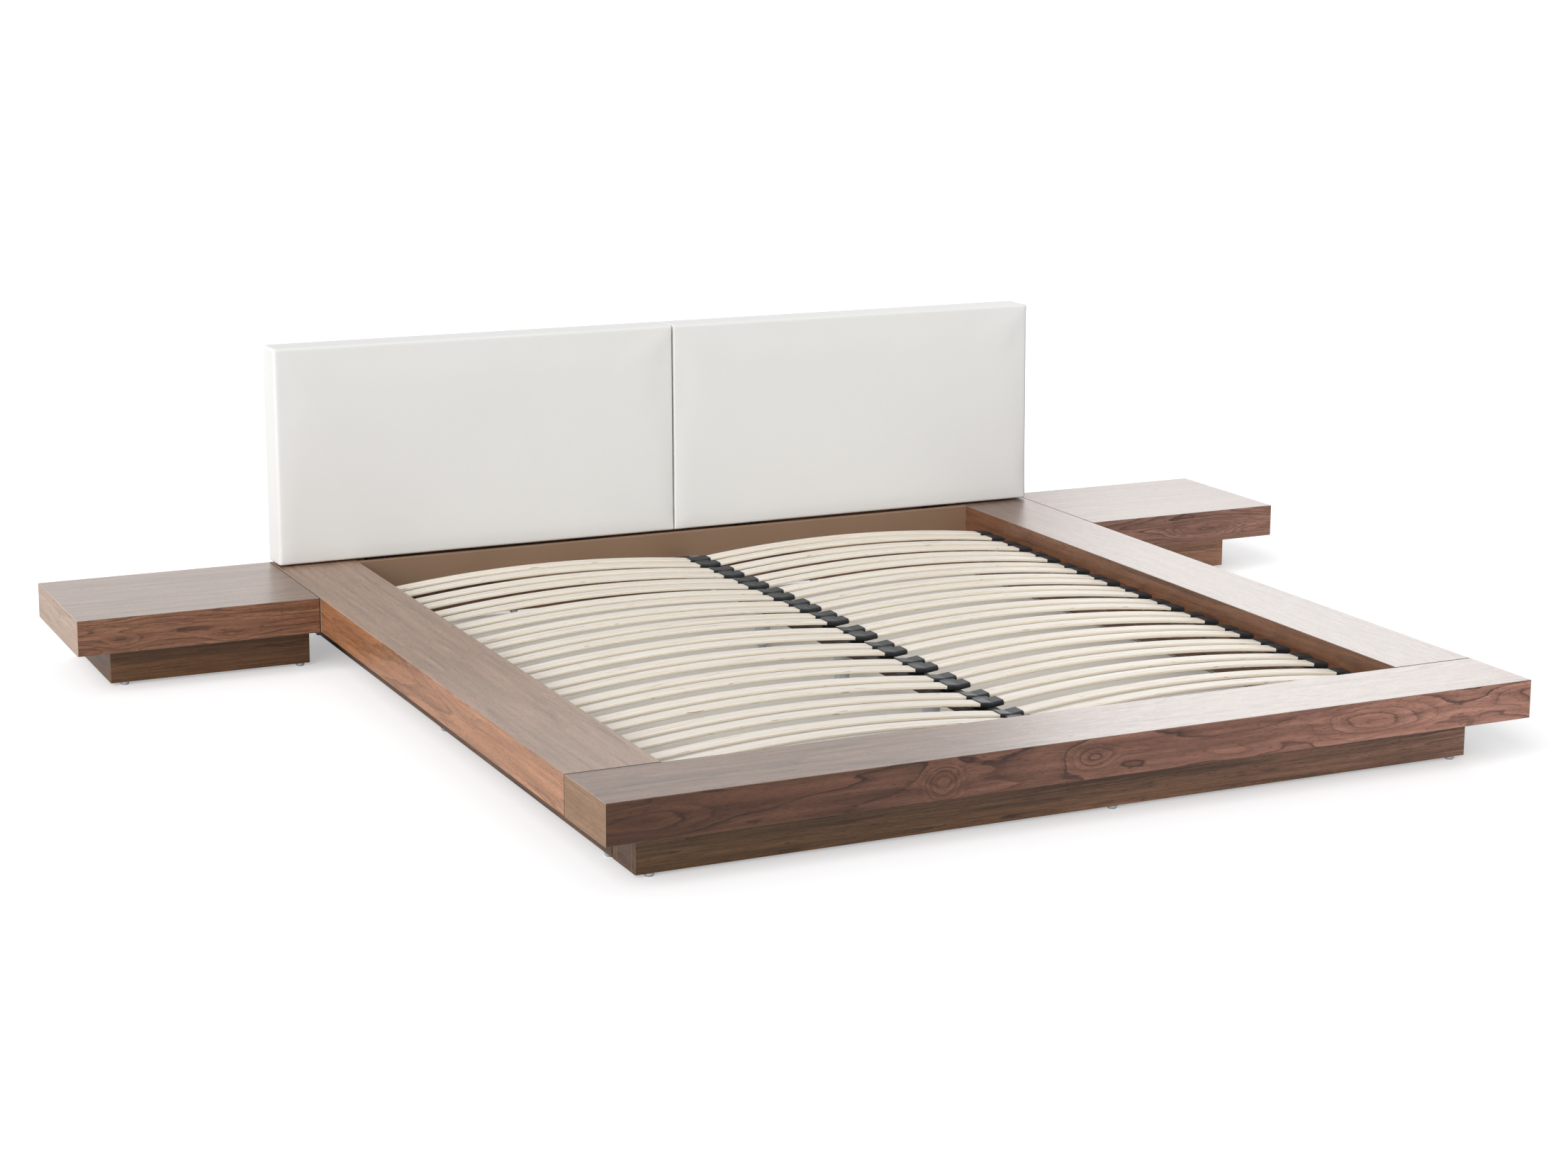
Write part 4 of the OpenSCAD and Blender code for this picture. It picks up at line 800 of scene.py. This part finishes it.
# %% Zinc plate
CLOUD_MM = 9
zinc_plate, tree, shader, place = begin_finish("zinc_plate", 0.3, metallic=1.0)
scaled = add(tree, "Mapping", {"Vector": place, "Scale": per_mm(CLOUD_MM, CLOUD_MM)})
clouds = add(tree, "TexNoise", {"Vector": scaled, "Scale": 1.0, "Detail": 3.0})
colour = {0: clouds, 6: linear("#A7ABB0"), 7: linear("#BFC3C7")}
colour = add(tree, "Mix", colour, data_type="RGBA")
sheen = add(tree, "MapRange", {0: clouds, 1: 0.0, 2: 1.0, 3: 0.22, 4: 0.4})
connect(tree, shader, {"Base Color": colour, "Roughness": sheen})
print("made", zinc_plate.name)

# %% [markdown]
# ## Off-white faux leather and black lining
#
# The headboard is covered in polyurethane-coated fabric. Its coat was pressed with a fine
# leather grain, about 1 mm from pebble to pebble, drawn here at 2 mm. Pebbles are cells,
# and the valleys between them are a little duller. Coated fabric: IOR 1.5, roughness 0.75.
# The coat is matted, so that not even the top edge mirrors the white room, and the specular
# level is turned nearly down. Its tone drifts a little over a quarter of a metre.
#
# The back has black non-woven lining over fibreboard: a felt of fibres pressed in random
# directions, without gloss. Its fibres are finer than a hair and are drawn 1.6 mm wide.

# %% Cover
GRAIN_MM, DRIFT_MM = 2.0, 260
cover_leather, tree, shader, place = begin_finish("off_white_faux_leather", 0.75)
scaled = add(tree, "Mapping", {"Vector": place, "Scale": per_mm(GRAIN_MM, GRAIN_MM)})
pebbles = add(tree, "TexVoronoi", {"Vector": scaled, "Scale": 1.0}, feature="SMOOTH_F1")
scaled = add(tree, "Mapping", {"Vector": place, "Scale": per_mm(DRIFT_MM, DRIFT_MM)})
clouds = add(tree, "TexNoise", {"Vector": scaled, "Scale": 1.0, "Detail": 3.0})
colour = {0: clouds, 6: linear("#ECECEA"), 7: linear("#E8E8E6")}
colour = add(tree, "Mix", colour, data_type="RGBA")
# The valleys between the pebbles are painted a few percent darker: painted shade in the grain.
shade = add(tree, "MapRange", {0: pebbles, 1: 0.0, 2: 1.0, 3: 1.01, 4: 0.97})
colour = add(tree, "VectorMath", {0: colour, "Scale": shade}, operation="SCALE")
sheen = add(tree, "MapRange", {0: pebbles, 1: 0.0, 2: 1.0, 3: 0.7, 4: 0.82})
relief = add(tree, "Bump", {"Height": pebbles, "Strength": 0.12, "Distance": -0.0003})
connect(tree, shader, {"Base Color": colour, "Roughness": sheen, "Normal": relief})
connect(tree, shader, {"Specular IOR Level": 0.02})
print("made", cover_leather.name)

# %% Lining
FELT_MM = (9, 1.6)
lining, tree, shader, place = begin_finish("black_non_woven", 0.9)
scaled = add(tree, "Mapping", {"Vector": place, "Scale": per_mm(*FELT_MM)})
felt = add(tree, "TexNoise", {"Vector": scaled, "Scale": 1.0, "Detail": 4.0, "Distortion": 1.5})
colour = {0: felt, 6: linear("#1F1E1D"), 7: linear("#3A3836")}
colour = add(tree, "Mix", colour, data_type="RGBA")
relief = add(tree, "Bump", {"Height": felt, "Strength": 0.4, "Distance": 0.0006})
connect(tree, shader, {"Base Color": colour, "Normal": relief})
print("made", lining.name)

# %% [markdown]
# ## Finishes on the drawn pieces
#
# Each drawn solid gets its finish. The solids have knife-sharp edges, and real boards have
# their edges eased with sandpaper, which makes the thin bright line along them. A bevel
# modifier cuts that edge on the shown mesh and leaves the solid under it as it was.

# %% Dress the solids
EASED_MM, SHARP_ANGLE = 1.0, 40
eased_pieces = {
    "foot_rail": walnut_foot_rail, "left_side_rail": walnut_left_rail, "right_side_rail": walnut_right_rail,
    "rail_end_blocks": walnut_rail_ends, "shelf_end_blocks": walnut_shelf_ends,
    "left_bedside_shelf": walnut_left_shelf, "right_bedside_shelf": walnut_right_shelf,
    "rear_panel": plinth_across, "head_panel": taupe_paint,
    "front_plinth_board": plinth_across, "front_plinth_inner_board": plinth_across,
    "rear_plinth_board": plinth_across, "shelf_plinth_fronts": shelf_plinth_across,
    "front_plinth_ends": plinth_lengthwise, "left_side_plinth": plinth_lengthwise,
    "right_side_plinth": plinth_lengthwise, "side_plinth_inner_boards": plinth_lengthwise,
    "shelf_plinth_sides": plinth_lengthwise, "side_ledgers": plinth_lengthwise,
}
plain_pieces = {
    "dowels": pine_across, "head_box_cleats": pine_across,
    "left_headboard_frame": pine_across, "right_headboard_frame": pine_across,
    "headboard_posts": posts_dark_as_shade, "centre_beam": stained_beam,
    "beam_legs": glide_nylon, "holder_pegs": holder_plastic, "glides": glide_nylon,
    "corner_plates": zinc_plate, "wood_screws": zinc_plate, "beam_brackets": zinc_plate,
    "headboard_bolts": zinc_plate, "shelf_bolts": zinc_plate, "headboard_back_panels": lining,
}
ROWS = 12
for row in range(1, ROWS + 1):
    plain_pieces[f"slats_row_{row}"] = birch
    plain_pieces[f"holders_row_{row}"] = holder_plastic


def wear(node_name, finish):
    """Puts one finish into the material slots of a drawn solid."""
    solid = nodes[node_name]
    for slot in solid.material_slots:
        slot.material = finish


for node_name, finish in {**eased_pieces, **plain_pieces}.items():
    wear(node_name, finish)
for node_name in eased_pieces:
    bevel = nodes[node_name].modifiers.new("eased_edges", "BEVEL")
    bevel.width = EASED_MM / 1000
    bevel.segments = 2
    bevel.limit_method = "ANGLE"
    bevel.angle_limit = math.radians(SHARP_ANGLE)
    bevel.harden_normals = True
left_bare = sorted(set(nodes) - set(eased_pieces) - set(plain_pieces))
print("solids without a finish yet:", left_bare)

# %% [markdown]
# ## Upholstered headboard halves
#
# Each half is a timber frame with foam in front and round its sides, and one sheet of faux
# leather pulled over it and stapled at the back. It looks like a slab, but it is soft: the
# edges are round, the front swells by a millimetre or two, and the cover is held still only
# where it is stapled. The two halves touch, so only a fine line shows between them.
#
# We build a closed skin from rows of cells, so that it has a pocket for the timber frame at
# the back. Its outer edges are rounded, and it starts a little too small. Then a cloth
# simulation blows it up softly, with the stapled part pinned. How far a point may move is
# capped, because foam stops the cover from ballooning. The measures are those of the drawn
# half, in metres.

# %% Measures of a half
PAD_W, PAD_H, PAD_T = 1.1197, 0.573, 0.102
SEAM_PLAY = 0.0003
EDGE_R, TOP_R, FOOT_R, SEAM_R = 0.010, 0.008, 0.006, 0.0015
CROWN = 0.0015
FOAM_FRONT, FOAM_SIDE = 0.030, 0.020
POST_X, POST_W = (0.240, 0.83975), 0.062
POST_NEAR, POST_FAR = 0.036, 0.065
LEAN = math.radians(1.1)
FOOT_Y, FOOT_Z = 1.06901, 0.199
CELL, STAPLE_BAND = 0.014, 0.004


def lines_between(first, last, step, kept, first_r, last_r):
    """Grid lines from first to last about a step apart, close together at the round edges."""
    close = [1 - math.cos(math.radians(a)) for a in (0, 25, 45, 65, 90)]
    fixed = {first + c * first_r for c in close} | {last - c * last_r for c in close}
    fixed = sorted(fixed | set(kept))
    lines = [fixed[0]]
    for value in fixed[1:]:
        gap = value - lines[-1]
        if gap < 1e-5:
            continue
        parts = max(1, round(gap / step))
        lines += [lines[-1] + gap * k / parts for k in range(1, parts + 1)]
    return lines


print("a half is", [round(1000 * m) for m in (PAD_W, PAD_T, PAD_H)], "mm wide, deep and high")

# %% Skin of a half


def half_skin(name):
    """Closed skin with a pocket behind, in the half's own place before it leans back."""
    pocket = ((FOAM_SIDE, PAD_W - FOAM_SIDE), (FOAM_FRONT, PAD_T), (FOAM_SIDE, PAD_H - FOAM_SIDE))
    slots = [((x - POST_W / 2, x + POST_W / 2), (POST_NEAR, POST_FAR), (0.0, FOAM_SIDE)) for x in POST_X]
    slots = [((a - SEAM_PLAY, b - SEAM_PLAY), deep, high) for (a, b), deep, high in slots]
    hollows = [pocket] + slots
    kept = [sorted({v for h in hollows for v in h[axis]}) for axis in range(3)]
    grid = [
        lines_between(0.0, PAD_W, CELL, kept[0], SEAM_R, EDGE_R),
        lines_between(0.0, PAD_T, CELL, kept[1], EDGE_R, EDGE_R),
        lines_between(0.0, PAD_H, CELL, kept[2], FOOT_R, TOP_R),
    ]

    def filled(i, j, k):
        if not all(0 <= c < len(g) - 1 for c, g in zip((i, j, k), grid)):
            return False
        mid = [(g[c] + g[c + 1]) / 2 for c, g in zip((i, j, k), grid)]
        return not any(all(a < m < b for m, (a, b) in zip(mid, h)) for h in hollows)

    skin = bmesh.new()
    corners = {}

    def corner(i, j, k):
        if (i, j, k) not in corners:
            corners[i, j, k] = skin.verts.new((grid[0][i], grid[1][j], grid[2][k]))
        return corners[i, j, k]

    around = {
        (1, 0, 0): ((1, 0, 0), (1, 1, 0), (1, 1, 1), (1, 0, 1)),
        (-1, 0, 0): ((0, 0, 0), (0, 0, 1), (0, 1, 1), (0, 1, 0)),
        (0, 1, 0): ((0, 1, 0), (0, 1, 1), (1, 1, 1), (1, 1, 0)),
        (0, -1, 0): ((0, 0, 0), (1, 0, 0), (1, 0, 1), (0, 0, 1)),
        (0, 0, 1): ((0, 0, 1), (1, 0, 1), (1, 1, 1), (0, 1, 1)),
        (0, 0, -1): ((0, 0, 0), (0, 1, 0), (1, 1, 0), (1, 0, 0)),
    }
    for i in range(len(grid[0]) - 1):
        for j in range(len(grid[1]) - 1):
            for k in range(len(grid[2]) - 1):
                if filled(i, j, k):
                    for (a, b, c), square in around.items():
                        if not filled(i + a, j + b, k + c):
                            skin.faces.new([corner(i + p, j + q, k + r) for p, q, r in square])
    mesh = bpy.data.meshes.new(name)
    skin.to_mesh(mesh)
    skin.free()
    return mesh


def is_stapled(p):
    """Inside the pocket or its slots, or on the back: the cover can't move there."""
    if p.y > PAD_T - STAPLE_BAND:
        return True
    near = 1e-4
    beside = FOAM_SIDE - near <= p.x <= PAD_W - FOAM_SIDE + near
    below_top = p.z <= PAD_H - FOAM_SIDE + near
    in_slot = p.z > FOAM_SIDE - near or p.y < POST_FAR + near
    return beside and p.y >= FOAM_FRONT - near and below_top and in_slot


def on_outside(p):
    """On one of the six outer faces of the square skin."""
    return min(p.x, p.y, p.z, PAD_W - p.x, PAD_T - p.y, PAD_H - p.z) < 1e-6


def rounded(p, shrink):
    """Moves a point of the square skin onto the round-edged form, pulled in by shrink."""
    if is_stapled(p) and not on_outside(p):
        return p.copy()
    size = (PAD_W, PAD_T, PAD_H)
    low, high = (SEAM_R, EDGE_R, FOOT_R), (EDGE_R, EDGE_R, TOP_R)
    radii = [a if 2 * c < s else b for c, s, a, b in zip(p, size, low, high)]
    core = Vector([min(max(c, r), s - r) for c, s, r in zip(p, size, radii)])
    out = Vector([(c - k) / r for c, k, r in zip(p, core, radii)])
    if out.length < 1e-9:
        return p.copy()
    out.normalize()
    moved = core + Vector([o * (r - shrink) for o, r in zip(out, radii)])
    across = 1 - (2 * p.x / PAD_W - 1) ** 4
    upwards = 1 - (2 * p.z / PAD_H - 1) ** 4
    if p.y < FOAM_FRONT:
        moved.y += CROWN * (1 - across * upwards) * (1 - p.y / FOAM_FRONT)
    return moved


square_skin = half_skin("half_skin")
print("points in the skin of a half:", len(square_skin.vertices))

# %% [markdown]
# ### Blowing up the cover
#
# The pinned points are the stapled ones. Gravity is off, because foam carries the cover
# from inside. Twenty frames of pressure give the way that the cover wants to move. The
# foam under it is firm, so each point takes about an eighth of that, and no more than two
# millimetres. The result is written into the mesh, so no simulation is left on the piece.
# One subdivision then smooths it.

# %% Inflate and lean a half
SHRINK, GIVE, CAP = 0.0005, 0.12, 0.002
FRAMES = 20


def puff(half, pinned):
    """Runs the cloth once and returns where its points went."""
    group = half.vertex_groups.new(name="stapled")
    group.add(pinned, 1.0, "REPLACE")
    cloth = half.modifiers.new("cover", "CLOTH")
    cloth.settings.quality = 6
    cloth.settings.use_pressure = True
    cloth.settings.uniform_pressure_force = 4.0
    cloth.settings.vertex_group_mass = "stapled"
    cloth.settings.effector_weights.gravity = 0.0
    cloth.settings.tension_stiffness = cloth.settings.compression_stiffness = 40
    cloth.settings.bending_stiffness = 6
    cloth.collision_settings.use_collision = False
    cloth.point_cache.frame_start, cloth.point_cache.frame_end = 1, FRAMES
    for step in range(1, FRAMES + 1):
        bpy.context.scene.frame_set(step)
    puffed = half.evaluated_get(bpy.context.evaluated_depsgraph_get())
    places = [v.co.copy() for v in puffed.data.vertices]
    half.modifiers.remove(cloth)
    bpy.context.scene.frame_set(1)
    return places


def upholstered_half(name, replaced, mirrored):
    """One padded half at its place on the bed."""
    mesh = square_skin.copy()
    mesh.name = name
    half = bpy.data.objects.new(name, mesh)
    bpy.context.scene.collection.objects.link(half)
    pinned = [v.index for v in mesh.vertices if is_stapled(v.co)]
    for v in mesh.vertices:
        v.co = rounded(v.co, SHRINK)
    started = [v.co.copy() for v in mesh.vertices]
    for v, first, last in zip(mesh.vertices, started, puff(half, pinned)):
        move = GIVE * (last - first)
        v.co = first + move.normalized() * min(move.length, CAP) if move.length > 1e-9 else first
    sine, cosine = math.sin(LEAN), math.cos(LEAN)
    for v in mesh.vertices:
        x = v.co.x + SEAM_PLAY
        v.co = (
            -x if mirrored else x,
            FOOT_Y + v.co.y * cosine + v.co.z * sine,
            FOOT_Z - v.co.y * sine + v.co.z * cosine,
        )
    if mirrored:
        mesh.flip_normals()
    mesh.polygons.foreach_set("use_smooth", [True] * len(mesh.polygons))
    smooth = half.modifiers.new("smooth_cover", "SUBSURF")
    smooth.levels = smooth.render_levels = 1
    mesh.materials.append(cover_leather)
    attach(half, "frame")
    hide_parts(replaced)
    print(name, "built,", len(pinned), "points held at the back")


upholstered_half("right_headboard_cover", "right_headboard_pad", False)
upholstered_half("left_headboard_cover", "left_headboard_pad", True)

# %% [markdown]
# ## The finished picture
#
# Standard view transform, so that a colour shows as it is written.

# %% Finish
bpy.context.scene.view_settings.view_transform = "Standard"
